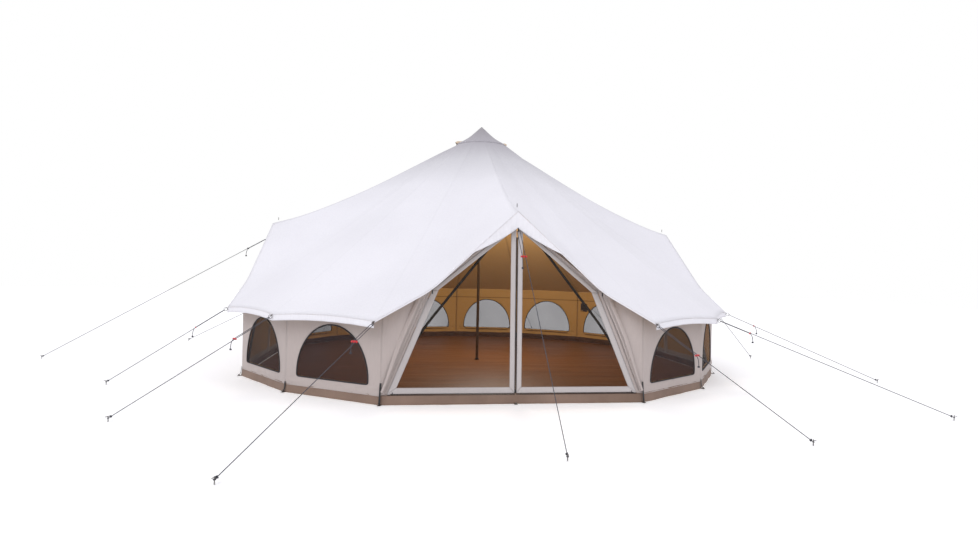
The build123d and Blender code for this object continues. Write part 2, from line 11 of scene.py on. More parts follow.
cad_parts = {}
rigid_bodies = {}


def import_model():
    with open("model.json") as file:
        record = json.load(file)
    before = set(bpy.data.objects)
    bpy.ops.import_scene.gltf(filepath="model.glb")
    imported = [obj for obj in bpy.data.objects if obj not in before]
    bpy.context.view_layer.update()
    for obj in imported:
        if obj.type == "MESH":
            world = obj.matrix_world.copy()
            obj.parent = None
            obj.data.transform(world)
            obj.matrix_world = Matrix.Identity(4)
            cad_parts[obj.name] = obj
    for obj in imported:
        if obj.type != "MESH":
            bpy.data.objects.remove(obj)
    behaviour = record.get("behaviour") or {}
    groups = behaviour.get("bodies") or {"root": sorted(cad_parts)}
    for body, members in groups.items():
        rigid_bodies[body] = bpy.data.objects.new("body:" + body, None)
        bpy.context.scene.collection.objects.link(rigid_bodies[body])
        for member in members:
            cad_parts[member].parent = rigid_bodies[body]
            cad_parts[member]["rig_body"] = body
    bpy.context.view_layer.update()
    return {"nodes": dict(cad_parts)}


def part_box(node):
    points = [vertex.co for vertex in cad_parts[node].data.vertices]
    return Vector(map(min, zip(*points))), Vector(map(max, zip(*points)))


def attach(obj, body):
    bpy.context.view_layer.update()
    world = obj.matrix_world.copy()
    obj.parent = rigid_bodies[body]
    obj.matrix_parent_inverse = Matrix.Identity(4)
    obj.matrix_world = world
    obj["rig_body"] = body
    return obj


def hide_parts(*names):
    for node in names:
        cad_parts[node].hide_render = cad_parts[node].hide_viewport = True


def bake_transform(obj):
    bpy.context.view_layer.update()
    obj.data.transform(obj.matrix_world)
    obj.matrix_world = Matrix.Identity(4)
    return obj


for leftover in list(bpy.data.objects):
    bpy.data.objects.remove(leftover)
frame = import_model()
nodes = frame["nodes"]

# --- The tent's plan, as in the CAD ---
BASE_RADIUS = 4.0
DOOR_ANGLE = 48.0
WINDOW_ANGLE = (360 - 3 * DOOR_ANGLE) / 10
DOOR_CENTRES = {
    "front": 0.0,
    "right": DOOR_ANGLE + 2 * WINDOW_ANGLE,
    "left": -DOOR_ANGLE - 2 * WINDOW_ANGLE,
}
DOOR_APOTHEM = BASE_RADIUS * cos(radians(DOOR_ANGLE / 2))
WINDOW_APOTHEM = BASE_RADIUS * cos(radians(WINDOW_ANGLE / 2))
DOOR_HALF = BASE_RADIUS * sin(radians(DOOR_ANGLE / 2))
WINDOW_HALF = BASE_RADIUS * sin(radians(WINDOW_ANGLE / 2))
PEAK_HEIGHT = 4.184
CAP_RADIUS = 0.46
CAP_HEIGHT = 3.85
TIP_RADIUS = 0.016
EAVE_RADIUS = 4.215
EAVE_HEIGHT = 1.01
RIM_HEIGHT = 0.112
VALANCE = 0.078
DOOR_PEAK = (0.0, 3.6, 2.36)
DOOR_KINK = (1.05, 3.753, 1.39)
DOOR_LEAN = radians(3)
DOOR_BOTTOM = 0.12
HINGE_FOOT = (1.556, DOOR_BOTTOM)
SCREEN_KINK = (1.04, 1.375)
SCREEN_TOP = (0.0, 2.225)
BEAK_DROP = 0.205
WINDOW_WIDTH = 1.12
WINDOW_SILL = 0.225
WINDOW_STRAIGHT = 0.04
WINDOW_ARCH = 0.64


def polar(angle, radius, height):
    a = radians(angle)
    return Vector((radius * sin(a), -radius * cos(a), height))


def side_point(centre, across, outwards, height):
    """A point given across and outwards of the side that faces outwards at a polar angle."""
    a = radians(centre)
    return Vector((across * cos(a) + outwards * sin(a), across * sin(a) - outwards * cos(a), height))


def door_point(centre, across, up, lift=0.0):
    """A point in a door's leaning plane, raised from it outwards by lift."""
    outwards = DOOR_APOTHEM - up * sin(DOOR_LEAN) + lift * cos(DOOR_LEAN)
    return side_point(centre, across, outwards, up * cos(DOOR_LEAN) + lift * sin(DOOR_LEAN))


def panels():
    kinds = ["door"] + 2 * ["window"] + ["door"] + 6 * ["window"] + ["door"] + 2 * ["window"]
    found = []
    angle = -DOOR_ANGLE / 2
    for kind in kinds:
        width = DOOR_ANGLE if kind == "door" else WINDOW_ANGLE
        found.append((kind, angle, angle + width))
        angle += width
    return found


PANELS = panels()
WINDOW_CENTRES = [(start + end) / 2 for kind, start, end in PANELS if kind == "window"]
WINDOW_RUNS = {"left": (-67.2, -24.0), "right": (24.0, 67.2), "rear": (115.2, 244.8)}
WORLD_UP = Vector((0, 0, 1))


def smooth(x):
    x = min(max(x, 0.0), 1.0)
    return x * x * (3 - 2 * x)


def wobble(x, y, z=0.0):
    return noise.noise(Vector((x, y, z)))


# --- Materials ---
def srgb(red, green, blue):
    return tuple(((c / 255 + 0.055) / 1.055) ** 2.4 for c in (red, green, blue)) + (1.0,)


class Surface:
    """A Principled material and the small set of nodes that give it its pattern."""

    def __init__(self, name, roughness=0.8, **sockets):
        self.material = bpy.data.materials.new(name)
        self.material.use_nodes = True
        self.tree = self.material.node_tree
        self.shader = self.tree.nodes["Principled BSDF"]
        self.shader.inputs["Roughness"].default_value = roughness
        for socket, value in sockets.items():
            self.shader.inputs[socket.replace("_", " ")].default_value = value
        self.coordinates = self.tree.nodes.new("ShaderNodeTexCoord")

    def node(self, kind, inputs=None, **settings):
        made = self.tree.nodes.new("ShaderNode" + kind)
        for key, value in settings.items():
            setattr(made, key, value)
        for key, value in (inputs or {}).items():
            if isinstance(value, bpy.types.NodeSocket):
                self.tree.links.new(value, made.inputs[key])
            else:
                made.inputs[key].default_value = value
        return made

    def noise(self, scale, stretch=(1, 1, 1), detail=4.0):
        place = self.node("Mapping", {"Vector": self.coordinates.outputs["Object"], "Scale": stretch})
        made = self.node("TexNoise", {"Vector": place.outputs[0], "Scale": scale, "Detail": detail})
        return made.outputs["Fac"]

    def axis(self, source, name):
        """One axis of the object's or the UV map's coordinates."""
        return self.node("SeparateXYZ", {0: self.coordinates.outputs[source]}).outputs[name]

    def ramp(self, factor, stops):
        made = self.node("ValToRGB", {"Fac": factor})
        elements = made.color_ramp.elements
        while len(elements) < len(stops):
            elements.new(0.5)
        for element, (position, colour) in zip(elements, stops):
            element.position = position
            element.color = colour
        return made.outputs["Color"]

    def multiply(self, first, second):
        made = self.node("MixRGB", {"Fac": 1.0, "Color1": first, "Color2": second}, blend_type="MULTIPLY")
        return made.outputs["Color"]

    def colour(self, output):
        self.tree.links.new(output, self.shader.inputs["Base Color"])
        return self

    def bump(self, height, strength, distance, below=None):
        inputs = {"Height": height, "Strength": strength, "Distance": distance}
        if below is not None:
            inputs["Normal"] = below
        made = self.node("Bump", inputs)
        self.tree.links.new(made.outputs["Normal"], self.shader.inputs["Normal"])
        return made.outputs["Normal"]


def grey(value):
    return (value, value, value, 1.0)


def weave(surface, pitch, strength=0.25, below=None):
    """Two crossed sets of threads, each a few millimetres wide, as bump."""
    threads = []
    for direction in ("X", "Z"):
        wave = surface.node(
            "TexWave",
            {"Vector": surface.coordinates.outputs["Object"], "Scale": 0.31 / pitch, "Distortion": 0.4},
            bands_direction=direction,
        )
        threads.append(wave.outputs["Fac"])
    both = surface.node("Math", {0: threads[0], 1: threads[1]}, operation="ADD")
    return surface.bump(both.outputs[0], strength, pitch * 0.3, below)


def canvas(name, dark, light, seam=0.86, seam_width=0.012, pitch=0.004, patch=0.6, bands=(), peak_shade=False):
    """Woven cotton: soft patches of two shades, fine streaks of thread, felled seams from the UV map's
    distance to a seam, and optional darker bands at given heights. With peak_shade, painted shade darkens
    the colour with height from 2.6 m up to the peak; its top is where the cap doubles the cloth."""
    surface = Surface(name, 0.88, Sheen_Weight=0.15, Sheen_Roughness=0.5, Specular_IOR_Level=0.25)
    base = surface.ramp(surface.noise(patch, detail=3.0), [(0.3, dark), (0.7, light)])
    streaks = surface.ramp(surface.noise(60, (1, 1, 0.15)), [(0.3, grey(0.95)), (0.7, grey(1.0))])
    colour = surface.multiply(base, streaks)
    lines = surface.ramp(
        surface.axis("UV", "X"),
        [
            (0.0, grey(0.5 + seam / 2)),
            (seam_width * 0.8, grey(0.5 + seam / 2)),
            (seam_width, grey(seam)),
            (seam_width * 1.3, grey(1.0)),
        ],
    )
    colour = surface.multiply(colour, lines)
    for height, width, shade in bands:
        away = surface.node("Math", {0: surface.axis("Object", "Z"), 1: height}, operation="SUBTRACT")
        size = surface.node("Math", {0: away.outputs[0]}, operation="ABSOLUTE")
        band = surface.ramp(size.outputs[0], [(width, grey(shade)), (width * 1.6, grey(1.0))])
        colour = surface.multiply(colour, band)
    # Painted shade: the colour darkens with height from 2.6 m towards the peak, to a grey with a faint tint.
    if peak_shade:
        rise = {"Value": surface.axis("Object", "Z"), "From Min": 2.6, "From Max": 4.2}
        stops = [
            (0.0, grey(1.0)),
            (0.25, grey(0.95)),
            (0.55, grey(0.74)),
            (0.78, (0.5, 0.485, 0.5, 1)),
            (1.0, (0.4, 0.385, 0.385, 1)),
        ]
        colour = surface.multiply(colour, surface.ramp(surface.node("MapRange", rise).outputs[0], stops))
    surface.colour(colour)
    creases = surface.bump(surface.noise(9, (1, 1, 0.5), detail=5.0), 0.12, 0.01)
    weave(surface, pitch, 0.2, creases)
    return surface.material


def plain(name, dark, light, scale, roughness, bump=0.2, stretch=(1, 1, 1), distance=0.001, **sockets):
    """Metal, plastic or cord: two shades in a noise, rougher where it is darker, with a fine grain."""
    surface = Surface(name, roughness, **sockets)
    cloud = surface.noise(scale, stretch)
    surface.colour(surface.ramp(cloud, [(0.35, dark), (0.65, light)]))
    rough = surface.node("MapRange", {"Value": cloud, "To Min": roughness * 1.15, "To Max": roughness * 0.85})
    surface.tree.links.new(rough.outputs[0], surface.shader.inputs["Roughness"])
    surface.bump(surface.noise(scale * 6, stretch), bump, distance)
    return surface.material


def netting(name, colour, alpha, pitch=0.006):
    """Insect mesh: its threads let part of the light through, a little more in some places than others."""
    surface = Surface(name, 0.7, Specular_IOR_Level=0.2)
    darker = (*(c * 0.8 for c in colour[:3]), 1)
    surface.colour(surface.ramp(surface.noise(3.0), [(0.3, colour), (0.7, darker)]))
    stops = [(0.3, grey(alpha * 0.94)), (0.7, grey(alpha * 1.06))]
    cover = surface.ramp(surface.noise(1.2, detail=2.0), stops)
    surface.tree.links.new(cover, surface.shader.inputs["Alpha"])
    weave(surface, pitch, 0.15)
    return surface.material


# The outside canopy carries painted shade that darkens it towards the peak.
ROOF = canvas(
    "roof_canvas_outside", srgb(226, 225, 230), srgb(233, 232, 237), seam=0.965, seam_width=0.014, peak_shade=True
)
ROOF_INSIDE = canvas(
    "roof_canvas_inside", srgb(176, 140, 86), srgb(188, 150, 94), seam=0.62, seam_width=0.016
)
WALL = canvas("wall_canvas_outside", srgb(176, 165, 161), srgb(185, 174, 170), seam=0.93)
WALL_INSIDE = canvas(
    "wall_canvas_inside", srgb(186, 148, 88), srgb(198, 158, 98), seam=0.5, seam_width=0.014,
    bands=[(0.957, 0.008, 0.55)],
)
TRIM = canvas(
    "binding_canvas", srgb(182, 176, 175), srgb(192, 186, 185), seam=0.8, seam_width=0.006, pitch=0.003
)
TAN = canvas("vent_canvas", srgb(206, 184, 158), srgb(214, 194, 170), pitch=0.003)
RIM = canvas("groundsheet_rim_outside", srgb(124, 103, 90), srgb(139, 117, 104), seam=0.75, patch=2.0)
RIM_INSIDE = plain(
    "groundsheet_rim_inside", srgb(66, 42, 28), srgb(84, 54, 36), 5.0, 0.6, 0.3, distance=0.003
)
NET = netting("window_mesh", srgb(40, 38, 43), 0.63)
DOOR_NET = netting("door_mesh", srgb(46, 38, 34), 0.34)
BLACK = plain("black_plastic_grain", srgb(20, 20, 22), srgb(34, 34, 37), 60, 0.45)
PIPING = plain("dark_piping", srgb(34, 32, 34), srgb(54, 51, 53), 90, 0.8)
ZIP = plain("zip_coil", srgb(18, 18, 20), srgb(38, 38, 40), 160, 0.5, 0.6, distance=0.002)
ZIP_METAL = plain("zip_slider_metal", srgb(52, 52, 56), srgb(96, 96, 100), 70, 0.35, Metallic=0.8)
RED = plain("red_plastic_grain", srgb(196, 30, 40), srgb(220, 44, 52), 50, 0.4)
POLE = plain("pole_steel", srgb(84, 68, 46), srgb(112, 90, 60), 14, 0.42, 0.15, (6, 6, 0.4), Metallic=0.6)
FRAME = plain("frame_steel", srgb(38, 36, 34), srgb(58, 55, 50), 14, 0.45, 0.15, Metallic=0.5)
FOOT = plain("pole_foot_rubber", srgb(24, 24, 25), srgb(40, 39, 39), 40, 0.8)
PEG = plain("peg_steel", srgb(92, 90, 88), srgb(140, 138, 134), 50, 0.35, 0.3, Metallic=0.9)
RING = plain("ring_steel", srgb(44, 44, 46), srgb(70, 70, 72), 50, 0.4, 0.2, Metallic=0.5)
ROPE = plain("rope_braid", srgb(48, 48, 54), srgb(86, 86, 94), 220, 0.85, 0.8, distance=0.003)
WEBBING = plain("tab_webbing", srgb(70, 60, 52), srgb(104, 92, 80), 160, 0.85, 0.6, distance=0.002)


def floor_material():
    """Coated groundsheet: long streaks across, a few paler scuffs, and a soft shine."""
    surface = Surface("groundsheet_floor_pvc", 0.42, Specular_IOR_Level=0.25)
    shades = [(0.3, srgb(100, 62, 30)), (0.7, srgb(120, 77, 40))]
    broad = surface.ramp(surface.noise(1.4, (0.35, 2.6, 1)), shades)
    streaks = surface.ramp(surface.noise(9, (0.12, 2.2, 1), 6.0), [(0.35, grey(0.82)), (0.62, grey(1.0))])
    colour = surface.multiply(broad, streaks)
    stops = [(0.0, grey(0.7)), (0.01, grey(0.6)), (0.014, grey(1.0))]
    lines = surface.ramp(surface.axis("UV", "X"), stops)
    surface.colour(surface.multiply(colour, lines))
    rough = surface.node("MapRange", {"Value": surface.noise(5, (0.2, 2, 1)), "To Min": 0.34, "To Max": 0.6})
    surface.tree.links.new(rough.outputs[0], surface.shader.inputs["Roughness"])
    soft = surface.bump(surface.noise(2.2, (0.3, 1.6, 1)), 0.25, 0.03)
    weave(surface, 0.005, 0.15, soft)
    return surface.material


FLOOR = floor_material()

node_materials = {
    "pole_foot": FOOT,
    "pole_": POLE,
    "aframe_": FRAME,
    "flap_toggles": BLACK,
    "tensioner_left_peak": BLACK,
    "tensioner_": RED,
    "guy_pegs": PEG,
    "base_pegs": PEG,
    "guy_rings": RING,
    "peg_tabs": WEBBING,
}
for node_name, node in nodes.items():
    kinds = [material for start, material in node_materials.items() if node_name.startswith(start)]
    if "_slider" in node_name:
        kinds = [ZIP_METAL]
    if kinds:
        node.data.materials.clear()
        node.data.materials.append(kinds[0])


# --- Mesh tools ---
class Shape:
    """Vertices, faces and UVs gathered from grids and tubes, then made into one object."""

    def __init__(self):
        self.points, self.faces, self.uvs = [], [], []

    def grid(self, rows, columns, place, wrap=False):
        """place(row, column) gives a point and its UV. Rows run down and columns to the right, seen from
        outside."""
        start = len(self.points)
        across = columns if wrap else columns + 1
        for i in range(rows + 1):
            for j in range(across):
                point, uv = place(i / rows, j / columns)
                self.points.append(point)
                self.uvs.append(uv)
        for i in range(rows):
            for j in range(columns):
                a, b = start + i * across + j, start + i * across + (j + 1) % across
                self.faces.append((a, a + across, b + across, b))
        return self

    def tube(self, path, radius, sides=8, closed=False, scales=None):
        """A round bar along a path of points."""
        count = len(path)
        start = len(self.points)
        side = None
        for i, point in enumerate(path):
            before = path[i - 1] if i or closed else point
            after = path[(i + 1) % count] if i + 1 < count or closed else point
            along = (after - before).normalized()
            if side is None:
                side = along.cross(WORLD_UP)
                if side.length < 0.1:
                    side = along.cross(Vector((1, 0, 0)))
            side = (side - along * side.dot(along)).normalized()
            other = along.cross(side)
            r = radius * (scales[i] if scales else 1)
            for k in range(sides):
                turn = 2 * pi * k / sides
                self.points.append(point + side * (r * cos(turn)) + other * (r * sin(turn)))
                self.uvs.append((1.0, i / count))
        for i in range(count if closed else count - 1):
            for k in range(sides):
                a, b = start + i * sides, start + ((i + 1) % count) * sides
                n = (k + 1) % sides
                self.faces.append((a + k, a + n, b + n, b + k))
        if not closed:
            self.faces.append(tuple(start + k for k in reversed(range(sides))))
            self.faces.append(tuple(start + (count - 1) * sides + k for k in range(sides)))
        return self

    def coil(self, path, radius, high=1.1, low=0.85):
        """A zip's coil: a bar whose every second ring is thicker."""
        return self.tube(path, radius, 6, scales=[high if k % 2 else low for k in range(len(path))])

    def build(self, name, materials, thickness=0.0):
        """thickness is added inwards, and its inner side takes the next material."""
        mesh = bpy.data.meshes.new(name)
        mesh.from_pydata([tuple(point) for point in self.points], [], self.faces)
        layer = mesh.uv_layers.new(name="UVMap")
        for loop in mesh.loops:
            layer.data[loop.index].uv = self.uvs[loop.vertex_index]
        for material in materials:
            mesh.materials.append(material)
        mesh.polygons.foreach_set("use_smooth", [True] * len(mesh.polygons))
        made = bpy.data.objects.new(name, mesh)
        bpy.context.scene.collection.objects.link(made)
        if thickness:
            shell = made.modifiers.new("shell", "SOLIDIFY")
            shell.thickness = thickness
            shell.offset = -1
            shell.material_offset = 1 if len(materials) > 1 else 0
            shell.material_offset_rim = 0
            keep_modifiers(made)
        return made


def keep_modifiers(made):
    bpy.context.view_layer.update()
    result = bpy.data.meshes.new_from_object(made.evaluated_get(bpy.context.evaluated_depsgraph_get()))
    made.modifiers.clear()
    made.data = result


def settle(made, body, slot, *replaced):
    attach(made, body)
    if replaced:
        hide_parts(*replaced)
    return made


def inset(outline, widths):
    """A closed counter-clockwise outline, moved in from each of its sides by that side's width."""
    sides = []
    count = len(outline)
    for i in range(count):
        (x0, y0), (x1, y1) = outline[i], outline[(i + 1) % count]
        length = hypot(x1 - x0, y1 - y0)
        nx, ny = -(y1 - y0) / length, (x1 - x0) / length
        sides.append((x0 + nx * widths[i], y0 + ny * widths[i], x1 - x0, y1 - y0))
    corners = []
    for i in range(count):
        ax, ay, adx, ady = sides[i - 1]
        bx, by, bdx, bdy = sides[i]
        turn = adx * bdy - ady * bdx
        t = ((bx - ax) * bdy - (by - ay) * bdx) / turn
        corners.append((ax + adx * t, ay + ady * t))
    return corners


# --- Camera: eye height, a little left of the front door's own line ---
CAMERA_LENS = 22.74
CAMERA_PLACE = polar(-7.564, 11.163, 1.629)
CAMERA_TURN = -8.529
CAMERA_DOWN = 0.477
CAMERA_TILT = 1.211
camera_data = bpy.data.cameras.new("camera")
camera_data.sensor_width = 36.0
camera_data.lens = CAMERA_LENS
camera_data.clip_end = 200.0
camera = bpy.data.objects.new("camera", camera_data)
bpy.context.scene.collection.objects.link(camera)
camera.matrix_world = (
    Matrix.Translation(CAMERA_PLACE)
    @ Matrix.Rotation(radians(CAMERA_TURN), 4, "Z")
    @ Matrix.Rotation(radians(90 - CAMERA_DOWN), 4, "X")
    @ Matrix.Rotation(radians(CAMERA_TILT), 4, "Z")
)
bpy.context.scene.camera = camera

# --- Guylines ---
# For each rope: its kind, its polar angle, its peg's distance from the pole, its tensioner's distance
# from the ring, and its length along its route.
GUYLINES = {
    "front_peak": ("peak", 0.0, 5.93, 0.48, 3.733),
    "left_peak": ("peak", -91.2, 7.25, 0.42, 4.745),
    "right_peak": ("peak", 91.2, 5.43, 0.52, 3.423),
    "front_left": ("eave", -24.0, 6.85, 0.45, 3.362),
    "front_right": ("eave", 24.0, 6.2, 0.64, 2.952),
    "left_front": ("eave", -45.6, 6.1, 0.52, 2.743),
    "right_front": ("eave", 45.6, 6.9, 0.42, 3.379),
    "left_middle": ("eave", -67.2, 5.7, 0.45, 2.325),
    "right_middle": ("eave", 67.2, 6.45, 0.42, 2.96),
}
REAR_CORNERS = ("right_rear", "rear_1", "rear_2", "rear_3", "rear_4", "rear_5", "left_rear")
for corner, name in enumerate(REAR_CORNERS):
    GUYLINES[name] = ("eave", round(115.2 + corner * WINDOW_ANGLE, 1), 6.35, 0.45, 2.899)
ROPE_NODES = {
    "front_peak": "front_peak_rope",
    "front_left": "front_left_rope",
    "front_right": "front_right_rope",
    **{name: "left_ropes" for name in ("left_peak", "left_front", "left_middle", "left_rear")},
    **{name: "right_ropes" for name in ("right_peak", "right_front", "right_middle", "right_rear")},
    **{name: "rear_ropes" for name in ("rear_1", "rear_2", "rear_3", "rear_4", "rear_5")},
}
PEAK_RING_DROP = 0.215
ROPE_RADIUS = 0.004
ROPE_TURN = 0.018
RING_MAJOR = 0.024
RING_MINOR = 0.003
PEG_RADIUS = 0.005
ROPE_GROUND = 0.036
TAIL_RUN = 0.045
TAIL_DROP = 0.105
HOOK_LEAD = 6 * 2 * ROPE_RADIUS  # how far from the ring the rope's straight run ends
KNOT_SIZE = 0.0075


def ring_points(centre, first, second, count):
    """Points on the circle through centre + first and centre + second."""
    return [centre + first * cos(2 * pi * k / count) + second * sin(2 * pi * k / count) for k in range(count)]


def knot_path(centre, along, size):
    """A trefoil around a line: the turns of an overhand knot pulled tight."""
    first = along.cross(WORLD_UP)
    first = first.normalized() if first.length > 0.1 else Vector((1, 0, 0))
    second = along.cross(first).normalized()
    path = []
    for k in range(36):
        t = 2 * pi * k / 36
        x = (sin(t) + 2 * sin(2 * t)) / 2
        y = (cos(t) - 2 * cos(2 * t)) / 2
        path.append(centre + first * (x * size) + second * (y * size) - along * (sin(3 * t) * size * 0.9))
    return path


def guyline(name, kind, angle, peg_radius, tensioner_distance):
    if kind == "peak":
        anchor = side_point(angle, 0, DOOR_PEAK[1], DOOR_PEAK[2] - PEAK_RING_DROP)
    else:
        anchor = polar(angle, EAVE_RADIUS, EAVE_HEIGHT - 0.016)
    peg_top = polar(angle, peg_radius, ROPE_GROUND)
    up = (anchor - peg_top).normalized()
    sideways = up.cross(WORLD_UP).normalized()
    ring_centre = anchor - up * (RING_MAJOR + RING_MINOR + 0.002)
    turn_top = ring_centre - up * (RING_MAJOR - RING_MINOR - ROPE_RADIUS - 0.001)
    half = sideways * ROPE_TURN
    foot = peg_top + up * (PEG_RADIUS + ROPE_RADIUS + 0.006)
    tensioner = turn_top - up * tensioner_distance
    tail_bend = tensioner - up * TAIL_RUN - half
    tail_end = tail_bend - Vector((0, 0, TAIL_DROP))
    route = [
        foot + half,
        turn_top + half - up * HOOK_LEAD,
        turn_top + half,
        turn_top - half,
        turn_top - half - up * HOOK_LEAD,
        tail_bend + up * TAIL_DROP,
        tail_bend,
        tail_end,
    ]
    curve = bpy.data.curves.new(f"guyline_{name}", "CURVE")
    curve.dimensions = "3D"
    curve.bevel_depth = ROPE_RADIUS
    curve.bevel_resolution = 3
    curve.resolution_u = 16
    curve.use_fill_caps = True
    spline = curve.splines.new("NURBS")
    spline.points.add(len(route) - 1)
    for control, point in zip(spline.points, route):
        control.co = (*point, 1.0)
    spline.order_u = 3
    spline.use_endpoint_u = True
    curve.materials.append(ROPE)
    rope = bpy.data.objects.new(f"guyline_{name}", curve)
    bpy.context.scene.collection.objects.link(rope)
    settle(rope, "tent", "rope", ROPE_NODES[name])

    tail_knot = Shape().tube(knot_path(tail_end, WORLD_UP, KNOT_SIZE), ROPE_RADIUS, 8, closed=True)
    tail_knot = settle(tail_knot.build(f"tail_knot_{name}", [ROPE]), "tent", "rope")
    peg_centre = peg_top + half
    loop_radius = PEG_RADIUS + ROPE_RADIUS
    loop = ring_points(peg_centre + up * 0.001, Vector((loop_radius, 0, 0)), Vector((0, loop_radius, 0)), 20)
    bowline = Shape().tube(loop, ROPE_RADIUS, 8, closed=True)
    bowline.tube(knot_path(foot + half + up * 0.012, up, KNOT_SIZE), ROPE_RADIUS, 8, closed=True)
    bowline = settle(bowline.build(f"peg_loop_{name}", [ROPE]), "tent", "rope")
    return rope, foot + half, [f"tensioner_{name}", tail_knot, bowline]


for name, (kind, angle, peg_radius, tensioner_distance, length) in GUYLINES.items():
    rope, start, with_pieces = guyline(name, kind, angle, peg_radius, tensioner_distance)

# --- Roof: one sheet from the peak to the eaves and the door edges ---
CAP_HOLLOW = 0.03
UNDER_CAP = 0.007
CAP_ROWS = 6
ROOF_ROWS = 46
GORE_COLUMNS = 14
DOOR_COLUMNS = 26
EAVE_SCALLOP = 0.035
RIDGE_SAG = 0.11
VALLEY_SAG = 0.055
TO_KINK = (Vector(DOOR_KINK) - Vector(DOOR_PEAK)).length
DOOR_CORNER = (
    EAVE_RADIUS * sin(radians(DOOR_ANGLE / 2)),
    EAVE_RADIUS * cos(radians(DOOR_ANGLE / 2)),
    EAVE_HEIGHT,
)
DOOR_EDGE = TO_KINK + (Vector(DOOR_CORNER) - Vector(DOOR_KINK)).length
KINK_ROUNDING = 0.16


def cap_ring(angle):
    return polar(angle, CAP_RADIUS, CAP_HEIGHT)


def eave_edge(start, end, t):
    """A point on the eave between two corners, which lifts and draws in a little between them."""
    edge = polar(start, EAVE_RADIUS, EAVE_HEIGHT).lerp(polar(end, EAVE_RADIUS, EAVE_HEIGHT), t)
    rise = 4 * t * (1 - t)
    inwards = -Vector((edge.x, edge.y, 0)).normalized()
    return edge + Vector((0, 0, EAVE_SCALLOP * rise)) + inwards * (0.02 * rise)


def door_edge(centre, side, distance):
    """A point on the canopy's edge over a door, at a distance from the door's peak, rounded at its kink."""
    peak, kink, corner = Vector(DOOR_PEAK), Vector(DOOR_KINK), Vector(DOOR_CORNER)
    past = distance - TO_KINK
    if past < 0:
        point = peak.lerp(kink, distance / TO_KINK)
    else:
        point = kink.lerp(corner, past / (DOOR_EDGE - TO_KINK))
    if abs(past) < KINK_ROUNDING:
        share = (past + KINK_ROUNDING) / (2 * KINK_ROUNDING)
        low = peak.lerp(kink, 1 - KINK_ROUNDING / TO_KINK)
        high = kink.lerp(corner, KINK_ROUNDING / (DOOR_EDGE - TO_KINK))
        point = low.lerp(kink, share).lerp(kink.lerp(high, share), share)
    return side_point(centre, side * point.x, point.y, point.z)


def roof_columns():
    """For each column: its point on the cap ring, its point on the edge, its share across its gore, the
    gore's width at the edge, and its share of ridge."""
    columns = []
    for kind, start, end in PANELS:
        if kind == "window":
            for k in range(GORE_COLUMNS):
                t = k / GORE_COLUMNS
                ring = cap_ring(start).lerp(cap_ring(end), t)
                columns.append((ring, eave_edge(start, end, t), t, 1.58, 0.0))
        else:
            centre = (start + end) / 2
            steps = [(-1, k / DOOR_COLUMNS) for k in range(DOOR_COLUMNS, 0, -1)]
            steps += [(1, k / DOOR_COLUMNS) for k in range(DOOR_COLUMNS)]
            for side, share in steps:
                ring = cap_ring(centre).lerp(cap_ring(centre + side * DOOR_ANGLE / 2), share)
                edge = door_edge(centre, side, share * DOOR_EDGE)
                columns.append((ring, edge, share, DOOR_EDGE, 1 - share))
    return columns


COLUMNS = roof_columns()


def roof_place(row, column):
    ring, edge, t, width, ridge = COLUMNS[round(column * len(COLUMNS)) % len(COLUMNS)]
    angle = atan2(ring.x, -ring.y)
    step = round(row * (CAP_ROWS + ROOF_ROWS))
    if step <= CAP_ROWS:
        share = step / CAP_ROWS
        tip = Vector((TIP_RADIUS * sin(angle), -TIP_RADIUS * cos(angle), PEAK_HEIGHT))
        hollow = CAP_HOLLOW * sin(pi * (1 - share)) ** 1.4
        return tip.lerp(ring, share) - Vector((0, 0, UNDER_CAP + hollow)), (1.0, 0.0)
    v = (step - CAP_ROWS) / ROOF_ROWS
    point = ring.lerp(edge, v)
    belly = 4 * v * (1 - v)
    sag = VALLEY_SAG + (RIDGE_SAG - VALLEY_SAG) * ridge
    drop = sag * belly * (0.5 + 1.0 * v) + 0.03 * sin(pi * t) * belly
    reach = hypot(point.x, point.y)
    pleats = 0.010 * smooth((reach - CAP_RADIUS) / 0.3) * exp(-1.3 * (reach - CAP_RADIUS))
    pleats *= sin(23 * angle + 4 * wobble(3 * cos(angle), 3 * sin(angle)))
    broad = 0.022 * wobble(point.x * 0.75, point.y * 0.75, 3.0) * belly
    strain = 0.006 * v ** 5 * (1 - v ** 10) * sin(t * 34 + 5 * wobble(point.x, point.y, 7.0))
    strain *= 1 - 0.6 * sin(pi * t)
    point.z += pleats + broad + strain - drop - UNDER_CAP * (1 - v)
    span = 0.17 + (width - 0.17) * v
    return point, (min(t, 1 - t) * span, v * 3.6)


roof_shape = Shape().grid(CAP_ROWS + ROOF_ROWS, len(COLUMNS), roof_place, wrap=True)
ROOF_TREE = BVHTree.FromPolygons([tuple(point) for point in roof_shape.points], roof_shape.faces)
roof = roof_shape.build("roof_canopy_sheet", [ROOF, ROOF_INSIDE], 0.002)
settle(roof, "tent", "roof_canvas", "roof_canopy")


def under_roof(point, way=WORLD_UP, reach=0.6):
    """The point just under the canopy that is met from a point, going up."""
    hit = ROOF_TREE.ray_cast(point, way, reach)[0]
    return hit - way.normalized() * 0.006 if hit is not None else point + way.normalized() * 0.06


# --- Peak cap, its grommet, and the vent hoods ---
CAP_SLOPE = (PEAK_HEIGHT - CAP_HEIGHT) / (CAP_RADIUS - TIP_RADIUS)
CAP_SEAMS = 16


def cone_height(angle, radius):
    """The canopy's height near the peak, where it is a little hollow between its tip and the cap's hem."""
    flat = CAP_HEIGHT + CAP_SLOPE * (CAP_RADIUS - radius)
    if radius < CAP_RADIUS:
        return flat - CAP_HOLLOW * sin(pi * (CAP_RADIUS - radius) / (CAP_RADIUS - TIP_RADIUS)) ** 1.4
    hit = ROOF_TREE.ray_cast(polar(degrees(angle), radius, 5.0), Vector((0, 0, -1)))[0]
    return hit.z if hit is not None else flat


